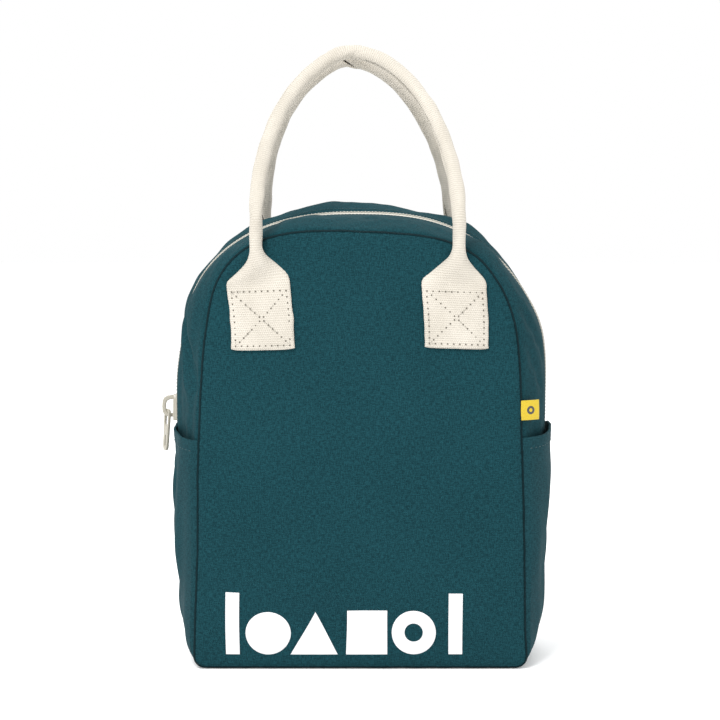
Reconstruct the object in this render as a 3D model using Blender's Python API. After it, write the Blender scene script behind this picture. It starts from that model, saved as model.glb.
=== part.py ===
"""Zip lunch bag: canvas panels, an arch zip with slider and pull, side pockets, two webbing handles, lining.

Lengths are in millimetres until a mesh is made. X runs to the right, the front faces -Y, Z is up, and the
origin is the middle of the flat bottom. The canvas skin is blended between two outlines: the wide one in
the middle of the depth, where the zip runs, and the narrower one along the front and back seams.
"""
import math

import bmesh
import bpy
from mathutils import Vector

MM = 0.001
GAP = 0.3                   # free space between pieces that touch

# Seam outline, shared by the front and back panels
SEAM_Y = 50.0               # the seams stand this far in front of and behind the middle
SEAM_HALF_WIDTH_LOW = 97.5
SEAM_HALF_WIDTH = 94.5      # at the fold line
SEAM_TOP_Z = 256.0
SEAM_ARCH_POWER = 3.5
SEAM_BOTTOM_Z = 3.5
SEAM_CORNER = 10.0
SEAM_CORNER_X = SEAM_HALF_WIDTH_LOW - SEAM_CORNER
PANEL_BULGE = 5.5           # how far a panel's middle swells past its seam

# Middle outline, where the zip runs
FOLD_Z = 137.0              # zip ends and front fold line
MID_HALF_WIDTH = 110.0
MID_LEG_TOP_Z = 160.0       # the zip runs straight up to here, then over the arch
MID_TOP_Z = 265.0
MID_ARCH_POWER = 2.4
MID_HALF_WIDTH_LOW = 100.0  # the side gusset is drawn in behind the pocket
MID_CORNER = 14.0
FLAT_SHARE = 0.75           # share of the half depth where the bottom is flat

# Fabric thicknesses
CANVAS = 2.5                # canvas and padding
CANVAS_EDGE = 1.2           # folded canvas edge beside the zip
LINING = 0.8
LINING_SLACK = 1.0          # the lining hangs this far inside the panels
LINING_MARGIN = 5.0         # and ends this far inside their seams
POCKET = 1.2

# Zip, as distances from the middle plane and depths under the skin
ZIP_EDGE_Y = 6.5
TAPE_Y = (2.7, 12.5)
TAPE_DEPTH = (1.5, 2.3)
TEETH_Y = (0.9, 2.4)
TEETH_DEPTH = (0.6, 3.2)
STOP_Z = (137.6, 140.4)
TEETH_START_Z = 140.8

SLIDER_Z = (141.0, 156.6)
SLIDER_HALF_WIDTH = 4.5
SLIDER_OUTER = (109.7, 112.7)   # outer plate, distances from the middle of the bag
SLIDER_INNER = (104.6, 105.8)   # inner plate
SLIDER_POST_HALF = 0.6
CROWN_HALF_WIDTH = 1.6
PULL_AXIS = (-116.2, 146.8)
PULL_TILT = math.radians(8.0)   # the pull hangs a little outwards, against the pocket hem
PULL_LENGTH = 24.5
PULL_HALF_WIDTH = 4.0
PULL_THICK = 1.8

# Side pockets: outlines as (height, half-width), from the bottom to the hem
POCKET_MID = ((2.2, 96.0), (4.5, 101.0), (12.0, 105.5), (30.0, 109.5), (65.0, 113.5), (100.0, 115.9),
              (137.0, 116.6))
POCKET_SEAM = ((4.7, 96.5), (8.0, 98.5), (13.5, 99.3), (137.0, 96.4))
HEM_DROP = 6.0              # the hem is this much lower at the seams
POCKET_FULLNESS = 4.0

# Handles
STRAP_WIDTH = 38.0
STRAP_THICK = 1.6
PATCH_X = 57.0
PATCH_Z = (187.0, 221.7)
HANDLE_FOOT_Z = 222.3
HANDLE_FOOT_Y = 57.5
NECK_Z = 245.0
NECK_Y = 58.0
NECK_X = 59.0
LOOP_START_Z = 262.0
LOOP_RISE = 100.0
LOOP_TUBE = 9.0
LOOP_TOP_Y = 5.1
STRAP_SIDES = 10

# Side label
LABEL_Z = (145.2, 156.6)
LABEL_ROOT = (95.2, -51.2)
LABEL_LENGTH = 12.2
LABEL_ANGLE = math.radians(22.6)
LABEL_THICK = 1.2

# Mesh steps
ARCH_STEPS = 36
PANEL_ARCH_STEPS = 24
CORNER_STEPS = 5
SIDE_STEPS = 8


def clear_scene():
    for thing in list(bpy.data.objects):
        bpy.data.objects.remove(thing, do_unlink=True)


def make_material(name, colour, roughness, metallic=0.0):
    material = bpy.data.materials.new(name)
    material.use_nodes = True
    shader = material.node_tree.nodes["Principled BSDF"]
    shader.inputs["Base Color"].default_value = (*colour, 1.0)
    shader.inputs["Roughness"].default_value = roughness
    shader.inputs["Metallic"].default_value = metallic
    return material


def add_object(name, bm, material, smooth=True):
    """Turn a bmesh in millimetres into an object in metres."""
    bmesh.ops.recalc_face_normals(bm, faces=bm.faces)
    bmesh.ops.scale(bm, vec=(MM, MM, MM), verts=bm.verts)
    mesh = bpy.data.meshes.new(name)
    bm.to_mesh(mesh)
    bm.free()
    if smooth:
        mesh.shade_smooth()
        mesh.set_sharp_from_angle(angle=math.radians(40))
    mesh.materials.append(material)
    thing = bpy.data.objects.new(name, mesh)
    bpy.context.scene.collection.objects.link(thing)
    return thing


# ---------------------------------------------------------------- plain geometry

def lerp(a, b, share):
    return a + (b - a) * share


def smoothstep(value):
    value = min(max(value, 0.0), 1.0)
    return value * value * (3.0 - 2.0 * value)


def interpolate(table, key):
    """Read a value off a line through (key, value) pairs with rising keys."""
    if key <= table[0][0]:
        return table[0][1]
    for (k0, v0), (k1, v1) in zip(table, table[1:]):
        if key <= k1:
            return lerp(v0, v1, (key - k0) / (k1 - k0))
    return table[-1][1]


def resample(points, count):
    """Spread count + 1 points evenly along a polyline."""
    lengths = [0.0]
    for a, b in zip(points, points[1:]):
        lengths.append(lengths[-1] + math.dist(a, b))
    table_x = list(zip(lengths, (p[0] for p in points)))
    table_z = list(zip(lengths, (p[1] for p in points)))
    stations = [lengths[-1] * i / count for i in range(count + 1)]
    return [(interpolate(table_x, s), interpolate(table_z, s)) for s in stations]


def inset(points, depth):
    """Move an open counter-clockwise outline towards its inside."""
    moved = []
    for i, (x, z) in enumerate(points):
        x0, z0 = points[max(i - 1, 0)]
        x1, z1 = points[min(i + 1, len(points) - 1)]
        length = math.dist((x0, z0), (x1, z1))
        moved.append((x - depth * (z1 - z0) / length, z + depth * (x1 - x0) / length))
    return moved


def quarter_arch(half_width, base_z, rise, power, count=60):
    """Superellipse from the right end at base_z up to the middle."""
    points = []
    for i in range(count + 1):
        angle = math.pi / 2 * i / count
        x = half_width * math.cos(angle) ** (2 / power)
        z = base_z + rise * math.sin(angle) ** (2 / power)
        points.append((x, z))
    points[-1] = (0.0, base_z + rise)
    return points


def mirror_path(points):
    """Continue a right half over the middle to its mirrored left half."""
    return points + [(-x, z) for x, z in reversed(points[:-1])]


def corner(centre_x, centre_z, radius):
    """Quarter circle from straight below its centre to straight right of it."""
    points = []
    for i in range(CORNER_STEPS + 1):
        angle = -math.pi / 2 + math.pi / 2 * i / CORNER_STEPS
        points.append((centre_x + radius * math.cos(angle), centre_z + radius * math.sin(angle)))
    return points


# ---------------------------------------------------------------- bag outlines

def seam_arch():
    return mirror_path(quarter_arch(SEAM_HALF_WIDTH, FOLD_Z, SEAM_TOP_Z - FOLD_Z, SEAM_ARCH_POWER))


def mid_arch():
    leg = [(MID_HALF_WIDTH, FOLD_Z)]
    arch = quarter_arch(MID_HALF_WIDTH, MID_LEG_TOP_Z, MID_TOP_Z - MID_LEG_TOP_Z, MID_ARCH_POWER)
    return mirror_path(leg + arch)


def seam_side(top_z):
    centre = (SEAM_CORNER_X, SEAM_BOTTOM_Z + SEAM_CORNER)
    points = corner(*centre, SEAM_CORNER)
    for i in range(1, SIDE_STEPS + 1):
        share = i / SIDE_STEPS
        z = lerp(centre[1], top_z, share)
        points.append((lerp(SEAM_HALF_WIDTH_LOW, SEAM_HALF_WIDTH, share), z))
    return points


def mid_side(top_z):
    points = corner(MID_HALF_WIDTH_LOW - MID_CORNER, MID_CORNER, MID_CORNER)
    for i in range(1, SIDE_STEPS + 1):
        share = i / SIDE_STEPS
        x = lerp(MID_HALF_WIDTH_LOW, MID_HALF_WIDTH, share ** 3)
        points.append((x, lerp(MID_CORNER, top_z, share)))
    return points


def side_share(y):
    """How far the skin has come from the middle outline to the seam outline, on the sides and the arch."""
    return min(abs(y) / SEAM_Y, 1.0) ** 2


def bottom_share(y):
    """The same on the bottom, which stays flat in the middle."""
    return max((abs(y) / SEAM_Y - FLAT_SHARE) / (1 - FLAT_SHARE), 0.0) ** 2


def seam_half_width(z):
    """Half-width of the front and back panels at a height."""
    if z >= FOLD_Z:
        rise = min((z - FOLD_Z) / (SEAM_TOP_Z - FOLD_Z), 1.0)
        return SEAM_HALF_WIDTH * (1 - rise ** SEAM_ARCH_POWER) ** (1 / SEAM_ARCH_POWER)
    return lerp(SEAM_HALF_WIDTH_LOW, SEAM_HALF_WIDTH, z / FOLD_Z)


def panel_swell(x, z):
    """How far a panel stands out past its seam plane."""
    middle = (SEAM_TOP_Z + SEAM_BOTTOM_Z) / 2
    tall = max(1 - abs((z - middle) / (SEAM_TOP_Z - middle)) ** 4, 0.0)
    width = seam_half_width(z)
    wide = max(1 - abs(x / width) ** 3, 0.0) if width > 1.0 else 0.0
    return PANEL_BULGE * tall * wide


# ---------------------------------------------------------------- solids

def sheet_solid(name, outer, inner, material):
    """Closed solid between two equal grids of points."""
    bm = bmesh.new()
    rows, columns = len(outer), len(outer[0])
    front = [[bm.verts.new(p) for p in row] for row in outer]
    back = [[bm.verts.new(p) for p in row] for row in inner]
    for r in range(rows - 1):
        for c in range(columns - 1):
            bm.faces.new((front[r][c], front[r][c + 1], front[r + 1][c + 1], front[r + 1][c]))
            bm.faces.new((back[r][c], back[r + 1][c], back[r + 1][c + 1], back[r][c + 1]))
    for r in range(rows - 1):
        for c, order in ((0, 1), (columns - 1, -1)):
            loop = (front[r][c], front[r + 1][c], back[r + 1][c], back[r][c])
            bm.faces.new(loop[::order])
    for c in range(columns - 1):
        for r, order in ((0, -1), (rows - 1, 1)):
            loop = (front[r][c], front[r][c + 1], back[r][c + 1], back[r][c])
            bm.faces.new(loop[::order])
    return add_object(name, bm, material)


def skin_rows(mid, seam, y_values, depth_at, share_at):
    """Grid of points on the bag's skin, each row at one depth y, sunk by depth_at(y)."""
    rows = []
    for y in y_values:
        outline = []
        for i, (a, b) in enumerate(zip(mid, seam)):
            share = share_at(y, i / (len(mid) - 1))
            outline.append((lerp(a[0], b[0], share), lerp(a[1], b[1], share)))
        rows.append([(x, y, z) for x, z in inset(outline, depth_at(y))])
    return rows


def skin_strip(name, mid, seam, y_values, outer_depth, inner_depth, share_at, material, mirror=False):
    outer = skin_rows(mid, seam, y_values, outer_depth, share_at)
    inner = skin_rows(mid, seam, y_values, inner_depth, share_at)
    if mirror:
        outer = [[(-x, y, z) for x, y, z in row] for row in outer]
        inner = [[(-x, y, z) for x, y, z in row] for row in inner]
    return sheet_solid(name, outer, inner, material)


def constant(value):
    return lambda y: value


def canvas_depth(y):
    """The canvas is a plain folded edge beside the zip and padded further away."""
    return lerp(CANVAS_EDGE, CANVAS, smoothstep((abs(y) - 13.0) / 10.0))


def arch_share(y, along):
    return side_share(y)


def corner_share(y, along):
    """Flat profile at the start of the bottom corner, rounded profile higher up."""
    return lerp(bottom_share(y), side_share(y), smoothstep(along * (CORNER_STEPS + SIDE_STEPS) / CORNER_STEPS))


def plate_solid(name, outline, centre, outer_y, inner_y, material, rings):
    """Closed plate with a convex outline in X and Z, and its two faces given as functions."""
    bm = bmesh.new()
    sheets = []
    for y_at in (outer_y, inner_y):
        loops = []
        for share in rings:
            loop = []
            for x, z in outline:
                px = lerp(centre[0], x, share)
                pz = lerp(centre[1], z, share)
                loop.append(bm.verts.new((px, y_at(px, pz), pz)))
            loops.append(loop)
        middle = bm.verts.new((centre[0], y_at(*centre), centre[1]))
        count = len(outline)
        for a, b in zip(loops, loops[1:]):
            for i in range(count):
                j = (i + 1) % count
                bm.faces.new((a[i], a[j], b[j], b[i]))
        for i in range(count):
            bm.faces.new((loops[-1][i], loops[-1][(i + 1) % count], middle))
        sheets.append(loops[0])
    for i in range(len(outline)):
        j = (i + 1) % len(outline)
        bm.faces.new((sheets[0][i], sheets[0][j], sheets[1][j], sheets[1][i]))
    return add_object(name, bm, material)


def close_outline(points, count):
    """Add the straight closing edge between an open outline's two ends."""
    (x0, z0), (x1, z1) = points[-1], points[0]
    extra = [(lerp(x0, x1, i / count), lerp(z0, z1, i / count)) for i in range(1, count)]
    return points + extra


def box(bm, low, high):
    """Add a box between two corners."""
    size = [b - a for a, b in zip(low, high)]
    middle = Vector([(a + b) / 2 for a, b in zip(low, high)])
    made = bmesh.ops.create_cube(bm, size=1.0)
    bmesh.ops.scale(bm, vec=size, verts=made["verts"])
    bmesh.ops.translate(bm, vec=middle, verts=made["verts"])


def prism(bm, outline, low_y, high_y):
    """Add an X-Z outline extruded along Y."""
    near = [bm.verts.new((x, low_y, z)) for x, z in outline]
    far = [bm.verts.new((x, high_y, z)) for x, z in outline]
    bm.faces.new(near)
    bm.faces.new(far[::-1])
    for i in range(len(outline)):
        j = (i + 1) % len(outline)
        bm.faces.new((near[i], near[j], far[j], far[i]))


def combine(target, tool, operation):
    """Boolean modifier with a hidden tool object."""
    tool.hide_render = True
    tool.display_type = "WIRE"
    modifier = target.modifiers.new(operation.title(), "BOOLEAN")
    modifier.operation = operation
    modifier.solver = "EXACT"
    modifier.object = tool


# ---------------------------------------------------------------- panels and gussets

def panel_face(side, depth):
    """Face of a front (side -1) or back (side +1) panel, depth millimetres out from the seam plane."""
    return lambda x, z: side * (SEAM_Y + GAP / 2 + panel_swell(x, z) + depth)


def lower_outline(margin, top_z):
    """Panel outline from the fold line down, with its straight top edge at top_z."""
    right = seam_side(top_z)
    left = [(-x, z) for x, z in reversed(right)]
    bottom = [(SEAM_CORNER_X * share, SEAM_BOTTOM_Z) for share in (-0.6, -0.2, 0.2, 0.6)]
    path = inset(left + bottom + right, margin)
    path[0] = (path[0][0], top_z)
    path[-1] = (path[-1][0], top_z)
    return close_outline(path, 12)


def upper_outline(margin, bottom_z):
    """Panel outline from the fold line up, with its straight lower edge at bottom_z."""
    path = inset(resample(seam_arch(), PANEL_ARCH_STEPS), margin)
    path[0] = (path[0][0], bottom_z)
    path[-1] = (path[-1][0], bottom_z)
    return close_outline(path, 12)


def whole_outline(margin):
    arch = resample(seam_arch(), PANEL_ARCH_STEPS)
    right = seam_side(FOLD_Z)
    left = [(-x, z) for x, z in reversed(right)]
    return close_outline(inset(right[:-1] + arch + left[1:], margin), 5)


def make_panels(canvas, lining):
    cut = GAP / 2
    pieces = (
        ("front_{}_lower", -1, lambda margin: lower_outline(margin, FOLD_Z - cut), (0.0, 70.0)),
        ("front_{}_upper", -1, lambda margin: upper_outline(margin, FOLD_Z + cut), (0.0, 190.0)),
        ("back_{}", 1, whole_outline, (0.0, 130.0)),
    )
    for pattern, side, outline, centre in pieces:
        plate_solid(pattern.format("panel"), outline(0.0), centre, panel_face(side, CANVAS),
                    panel_face(side, 0.0), canvas, (1.0, 0.72, 0.4))
        plate_solid("lining_" + pattern.replace("_{}", ""), outline(LINING_MARGIN), centre,
                    panel_face(side, -LINING_SLACK), panel_face(side, -LINING_SLACK - LINING), lining,
                    (1.0, 0.6))


def signed(values, side):
    return [side * v for v in values]


def make_gussets(canvas, lining):
    edge = SEAM_Y - GAP / 2
    mid, seam = resample(mid_arch(), ARCH_STEPS), resample(seam_arch(), ARCH_STEPS)
    strip_y = (ZIP_EDGE_Y, 13.0, 23.0, 36.0, edge)
    lining_y = (14.0, 23.0, 36.0, edge - 0.4)
    under = CANVAS + GAP
    for word, side in (("front", -1), ("back", 1)):
        skin_strip(word + "_gusset_strip", mid, seam, signed(strip_y, side), constant(0.0), canvas_depth,
                   arch_share, canvas)
        skin_strip("lining_" + word + "_strip", mid, seam, signed(lining_y, side), constant(under),
                   constant(under + LINING), arch_share, lining)
    top_z = FOLD_Z - 0.8
    mid, seam = mid_side(top_z), seam_side(top_z)
    side_y = (-edge, -42.0, -30.0, -15.0, 0.0, 15.0, 30.0, 42.0, edge)
    side_lining_y = (-edge + 0.4, *side_y[1:-1], edge - 0.4)
    for word, mirror in (("right", False), ("left", True)):
        skin_strip("side_gusset_" + word, mid, seam, side_y, constant(0.0), constant(CANVAS), corner_share,
                   canvas, mirror)
        skin_strip("lining_side_" + word, mid, seam, side_lining_y, constant(under),
                   constant(under + LINING), corner_share, lining, mirror)


def make_bottom(canvas, lining):
    """Flat bottom whose front and back edges rise to the seams."""
    edge = SEAM_Y - GAP / 2
    flat = FLAT_SHARE * SEAM_Y
    pieces = (("bottom_panel", edge, 0.8, 0.0, CANVAS, canvas),
              ("lining_bottom", edge - 2.5, 1.8, CANVAS + GAP, CANVAS + GAP + LINING, lining))
    for name, end, clear, low, high, material in pieces:
        y_values = (-end, -45.0, -41.5, -flat, flat, 41.5, 45.0, end)
        mid_x = MID_HALF_WIDTH_LOW - MID_CORNER - clear
        seam_x = SEAM_CORNER_X - clear
        mid = [(x * mid_x, 0.0) for x in (-1.0, 0.0, 1.0)]
        seam = [(x * seam_x, SEAM_BOTTOM_Z) for x in (-1.0, 0.0, 1.0)]
        skin_strip(name, mid, seam, y_values, constant(low), constant(high),
                   lambda y, along: bottom_share(y), material)


def pocket_rows(y_values, depth):
    rows = []
    steps = 12
    for y in y_values:
        reach = abs(y) / SEAM_Y
        share = reach ** POCKET_FULLNESS
        start_z = lerp(POCKET_MID[0][0], POCKET_SEAM[0][0], share)
        hem_z = FOLD_Z - HEM_DROP * reach ** 1.5
        outline = []
        for i in range(steps + 1):
            z = lerp(start_z, hem_z, (i / steps) ** 1.5)
            x = lerp(interpolate(POCKET_MID, z), interpolate(POCKET_SEAM, z), share)
            outline.append((x, z))
        outline[0] = (lerp(POCKET_MID[0][1], POCKET_SEAM[0][1], share), start_z)
        rows.append([(x, y, z) for x, z in inset(outline, depth)])
    return rows


def make_pockets(canvas):
    edge = SEAM_Y - GAP / 2
    y_values = (-edge, -46.0, -38.0, -27.0, -14.0, 0.0, 14.0, 27.0, 38.0, 46.0, edge)
    outer, inner = pocket_rows(y_values, 0.0), pocket_rows(y_values, POCKET)
    for word, side in (("right", 1), ("left", -1)):
        flipped = [[[(side * x, y, z) for x, y, z in row] for row in grid] for grid in (outer, inner)]
        sheet_solid("side_pocket_" + word, *flipped, canvas)


# ---------------------------------------------------------------- zip

def toothed_arch():
    """Middle outline, cut off below the first tooth on each side."""
    mid = [(x, z) for x, z in mid_arch() if z > TEETH_START_Z]
    return [(MID_HALF_WIDTH, TEETH_START_Z)] + mid + [(-MID_HALF_WIDTH, TEETH_START_Z)]


def make_zip(tape, teeth, metal):
    mid, seam = resample(mid_arch(), ARCH_STEPS), resample(seam_arch(), ARCH_STEPS)
    row = resample(toothed_arch(), ARCH_STEPS)
    for word, side in (("front", -1), ("back", 1)):
        skin_strip(word + "_zip_tape", mid, seam, signed(TAPE_Y, side), constant(TAPE_DEPTH[0]),
                   constant(TAPE_DEPTH[1]), arch_share, tape)
        skin_strip(word + "_zip_teeth", row, row, signed(TEETH_Y, side), constant(TEETH_DEPTH[0]),
                   constant(TEETH_DEPTH[1]), arch_share, teeth)
        make_stop("zip_top_stop_" + word, -1, sorted(signed(TEETH_Y, side)), metal)
    make_stop("zip_bottom_stop", 1, (-TEETH_Y[1], TEETH_Y[1]), metal)


def make_stop(name, side, y_range, metal):
    reach = sorted((side * (MID_HALF_WIDTH - TEETH_DEPTH[0] + 0.2),
                    side * (MID_HALF_WIDTH - TEETH_DEPTH[1] - 0.2)))
    bm = bmesh.new()
    box(bm, (reach[0], y_range[0], STOP_Z[0]), (reach[1], y_range[1], STOP_Z[1]))
    add_object(name, bm, metal, smooth=False)


def make_slider(metal):
    """Slider on the left leg of the zip: two plates joined by a post, and a crown for the pull."""
    low, high = SLIDER_Z
    bm = bmesh.new()
    box(bm, (-SLIDER_OUTER[1], -SLIDER_HALF_WIDTH, low), (-SLIDER_OUTER[0], SLIDER_HALF_WIDTH, high))
    slider = add_object("zip_slider_body", bm, metal, smooth=False)
    inner = bmesh.new()
    box(inner, (-SLIDER_INNER[1], -SLIDER_HALF_WIDTH, low), (-SLIDER_INNER[0], SLIDER_HALF_WIDTH, high))
    post = bmesh.new()
    box(post, (-SLIDER_OUTER[1] + 0.5, -SLIDER_POST_HALF, low + 4.0),
        (-SLIDER_INNER[0] - 0.5, SLIDER_POST_HALF, high - 1.0))
    crown = bmesh.new()
    root = -SLIDER_OUTER[1] + 0.4
    outline = ((root, 143.5), (-117.0, 143.5), (-119.3, 146.0), (-119.3, 152.5), (-117.0, 155.0),
               (root, 155.0), (root, 153.4), (-116.4, 153.4), (-117.8, 151.8), (-117.8, 146.7),
               (-116.4, 145.1), (root, 145.1))
    prism(crown, outline, -CROWN_HALF_WIDTH, CROWN_HALF_WIDTH)
    for label, tool in (("post", post), ("inner_plate", inner), ("crown", crown)):
        combine(slider, add_object("tool_slider_" + label, tool, metal, smooth=False), "UNION")


def make_pull(metal):
    """Flat pull with a window for the crown and a slot near its end. Its origin is on its hinge axis."""
    half = PULL_THICK / 2
    bm = bmesh.new()
    box(bm, (-half, -PULL_HALF_WIDTH, -PULL_LENGTH), (half, PULL_HALF_WIDTH, 0.9))
    pull = add_object("zip_pull_tab", bm, metal, smooth=False)
    cuts = bmesh.new()
    box(cuts, (-3.0, -2.3, -9.5), (3.0, 2.3, -0.9))
    box(cuts, (-3.0, -1.1, -21.5), (3.0, 1.1, -14.5))
    tool = add_object("tool_pull_cuts", cuts, metal, smooth=False)
    combine(pull, tool, "DIFFERENCE")
    for thing in (pull, tool):
        thing.location = (PULL_AXIS[0] * MM, 0.0, PULL_AXIS[1] * MM)
        thing.rotation_euler = (0.0, PULL_TILT, 0.0)


# ---------------------------------------------------------------- handles and label

def make_patches(webbing):
    """Sewn ends of the straps, lying on the panels."""
    low, high = PATCH_Z
    columns, rows = 4, 4
    for word, side in (("front", -1), ("back", 1)):
        for hand, centre in (("left", -PATCH_X), ("right", PATCH_X)):
            grids = []
            for depth in (CANVAS + GAP + STRAP_THICK, CANVAS + GAP):
                face = panel_face(side, depth)
                grid = []
                for r in range(rows + 1):
                    z = lerp(low, high, r / rows)
                    xs = [centre + STRAP_WIDTH * (c / columns - 0.5) for c in range(columns + 1)]
                    grid.append([(x, face(x, z), z) for x in xs])
                grids.append(grid)
            sheet_solid(word + "_patch_" + hand, *grids, webbing)


def handle_path():
    """Centre line of one handle as (x, y, z, width, thickness), with y for the back handle."""
    leg = []
    flare_steps = 5
    for i in range(flare_steps + 1):
        share = i / flare_steps
        ease = smoothstep(share)
        leg.append((lerp(PATCH_X, NECK_X, ease), lerp(HANDLE_FOOT_Y, NECK_Y, ease),
                    lerp(HANDLE_FOOT_Z, NECK_Z, share), lerp(STRAP_WIDTH, LOOP_TUBE, ease),
                    lerp(STRAP_THICK, LOOP_TUBE, ease)))
    arch = []
    arch_steps = 11
    for i in range(arch_steps + 1):
        angle = math.pi / 2 * i / arch_steps
        rise = math.sin(angle)
        x = NECK_X * math.cos(angle) if i < arch_steps else 0.0
        y = lerp(NECK_Y - 1.0, LOOP_TOP_Y, rise ** 1.15)
        arch.append((x, y, LOOP_START_Z + LOOP_RISE * rise, LOOP_TUBE, LOOP_TUBE))
    right = leg + arch
    return right + [(-p[0],) + p[1:] for p in reversed(right[:-1])]


def section(share):
    """Closed section of unit half-size: a flat band at 0, a circle at 1."""
    power = lerp(0.35, 1.0, share)
    points = []
    for i in range(STRAP_SIDES):
        angle = 2 * math.pi * (i + 0.5) / STRAP_SIDES
        c, s = math.cos(angle), math.sin(angle)
        points.append((math.copysign(abs(c) ** power, c), math.copysign(abs(s) ** power, s)))
    return points


def make_handle(name, side, webbing):
    stations = handle_path()
    bm = bmesh.new()
    rings = []
    for i, (x, y, z, width, thick) in enumerate(stations):
        a = stations[max(i - 1, 0)]
        b = stations[min(i + 1, len(stations) - 1)]
        along = Vector((b[0] - a[0], b[1] - a[1], b[2] - a[2])).normalized()
        across = Vector((0.0, 1.0, 0.0))
        across = (across - along * across.dot(along)).normalized()
        out = across.cross(along)
        share = (STRAP_WIDTH - width) / (STRAP_WIDTH - LOOP_TUBE)
        ring = []
        for u, v in section(share):
            point = Vector((x, y, z)) + out * (u * width / 2) + across * (v * thick / 2)
            ring.append(bm.verts.new((point.x, side * point.y, point.z)))
        rings.append(ring)
    for a, b in zip(rings, rings[1:]):
        for i in range(STRAP_SIDES):
            j = (i + 1) % STRAP_SIDES
            bm.faces.new((a[i], a[j], b[j], b[i]))
    bm.faces.new(rings[0][::-1])
    bm.faces.new(rings[-1])
    add_object(name, bm, webbing)


def make_label(fabric):
    """Folded woven label standing out of the right front seam."""
    along = Vector((math.cos(LABEL_ANGLE), math.sin(LABEL_ANGLE)))
    across = Vector((-along.y, along.x)) * (LABEL_THICK / 2)
    root = Vector(LABEL_ROOT)
    tip = root + along * LABEL_LENGTH
    corners = (root - across, tip - across, tip + across, root + across)
    bm = bmesh.new()
    low = [bm.verts.new((p.x, p.y, LABEL_Z[0])) for p in corners]
    high = [bm.verts.new((p.x, p.y, LABEL_Z[1])) for p in corners]
    bm.faces.new(low[::-1])
    bm.faces.new(high)
    for i in range(4):
        j = (i + 1) % 4
        bm.faces.new((low[i], low[j], high[j], high[i]))
    add_object("side_label", bm, fabric, smooth=False)


def main():
    clear_scene()
    canvas = make_material("teal_canvas", (0.0186, 0.0762, 0.0931), 0.9)
    lining = make_material("pale_lining", (0.62, 0.62, 0.58), 0.6)
    webbing = make_material("cream_webbing", (0.82, 0.77, 0.67), 0.85)
    tape = make_material("cream_tape", (0.72, 0.69, 0.6), 0.8)
    teeth = make_material("ivory_teeth", (0.65, 0.63, 0.54), 0.4)
    metal = make_material("ivory_enamel", (0.56, 0.53, 0.43), 0.35)
    yellow = make_material("yellow_label", (0.83, 0.61, 0.01), 0.8)
    make_panels(canvas, lining)
    make_gussets(canvas, lining)
    make_bottom(canvas, lining)
    make_pockets(canvas)
    make_zip(tape, teeth, metal)
    make_slider(metal)
    make_pull(metal)
    make_patches(webbing)
    make_handle("front_handle_strap", -1, webbing)
    make_handle("back_handle_strap", 1, webbing)
    make_label(yellow)


main()
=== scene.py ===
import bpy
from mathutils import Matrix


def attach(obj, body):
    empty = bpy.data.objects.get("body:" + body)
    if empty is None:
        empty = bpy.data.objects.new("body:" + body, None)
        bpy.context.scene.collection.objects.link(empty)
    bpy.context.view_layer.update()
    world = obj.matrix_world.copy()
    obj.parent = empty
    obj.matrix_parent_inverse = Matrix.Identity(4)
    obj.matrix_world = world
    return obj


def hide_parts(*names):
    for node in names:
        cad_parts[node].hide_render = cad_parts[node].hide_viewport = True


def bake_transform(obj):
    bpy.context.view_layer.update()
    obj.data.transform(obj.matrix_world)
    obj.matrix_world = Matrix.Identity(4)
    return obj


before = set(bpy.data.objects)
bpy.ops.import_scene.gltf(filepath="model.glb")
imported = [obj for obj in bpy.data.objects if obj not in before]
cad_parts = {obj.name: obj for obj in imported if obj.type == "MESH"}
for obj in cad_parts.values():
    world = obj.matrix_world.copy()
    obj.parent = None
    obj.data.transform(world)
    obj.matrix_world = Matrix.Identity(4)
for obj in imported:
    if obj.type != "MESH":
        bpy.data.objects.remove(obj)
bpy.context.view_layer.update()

import math

import bmesh
import bpy
import numpy as np
from mathutils import Matrix, Vector

# Lengths are in millimetres until a mesh is made. The fold planes, the lights and the camera are in metres.
# The bag's skin runs between two outlines: the wide one in the middle of the depth, where the zip is, and the
# narrower one along the front and back seams.
MM = 0.001
TAU = 2 * math.pi
SEAM_Y = 50.0
FOLD_Z = 137.0
SEAM_TOP_Z = 254.0
MID_TOP_Z = 265.0
LEG_TOP_Z = 160.0
MID_HALF = 110.0
MID_HALF_LOW = 100.0
SEAM_HALF = 93.0
SEAM_HALF_LOW = 97.0
SEAM_LOW_Z = 0.7
SEAM_CORNER = 6.5
MID_CORNER = 14.0
PANEL_FACE = 52.65          # outer face of a panel at its rim
BULGE = 5.5
PATCH_X = {-1: -56.8, 1: 55.2}      # middle of the left and right strap ends
NECK_X = {-1: -59.8, 1: 56.4}
PATCH_LOW = 187.0
PATCH_HIGH = 221.7
STRAP = 36.4
STRAP_THICK = 1.6
SLIDER_AT = np.array((-110.0, 0.0, 149.0))
PULL_AXIS = (-116.2, 0.0, 146.8)
SIDES = (("front", -1, None), ("back", 1, "bag_body"))      # word, sign of Y, body (None: across the fold)
BELT_TOP_Z = FOLD_Z - 0.8             # top of the canvas at the sides, under the strips
STRIP_LOW_Z = 116.0                   # lower ends of the gusset strips, behind the pockets
OUTLINE_RUN = 1600.0                  # length given to a panel's outline where its unevenness is drawn
LINING_THICK = 0.7
WEAVE = 1.15                          # pitch of the canvas yarns
THREAD = (0.4, 0.4)                   # rib and warp pitch of sewing thread
DRIFT = (0.5, 0.6, 0.45)              # how far soft fabric wanders in X, Y and Z
CREST = 6.3                           # height of the roll behind the zip
ZIP_RIDGE = 0.9                       # rise of the cloth along the zip, over the arch
LEFT_DIP = 2.2                        # how far the front strip falls in on its left leg
LOWEST_LIFT = -2.4                    # a crease goes no deeper, or the lining would show
LOOP_LOW_Z = 262.0                    # where a handle's round loop starts
LOOP_RISE = 98.0
BACK_LOOP_DROP = 3.6
BACK_LOOP_SHIFT = 2.0
LABEL_LONG = 12.2
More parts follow.
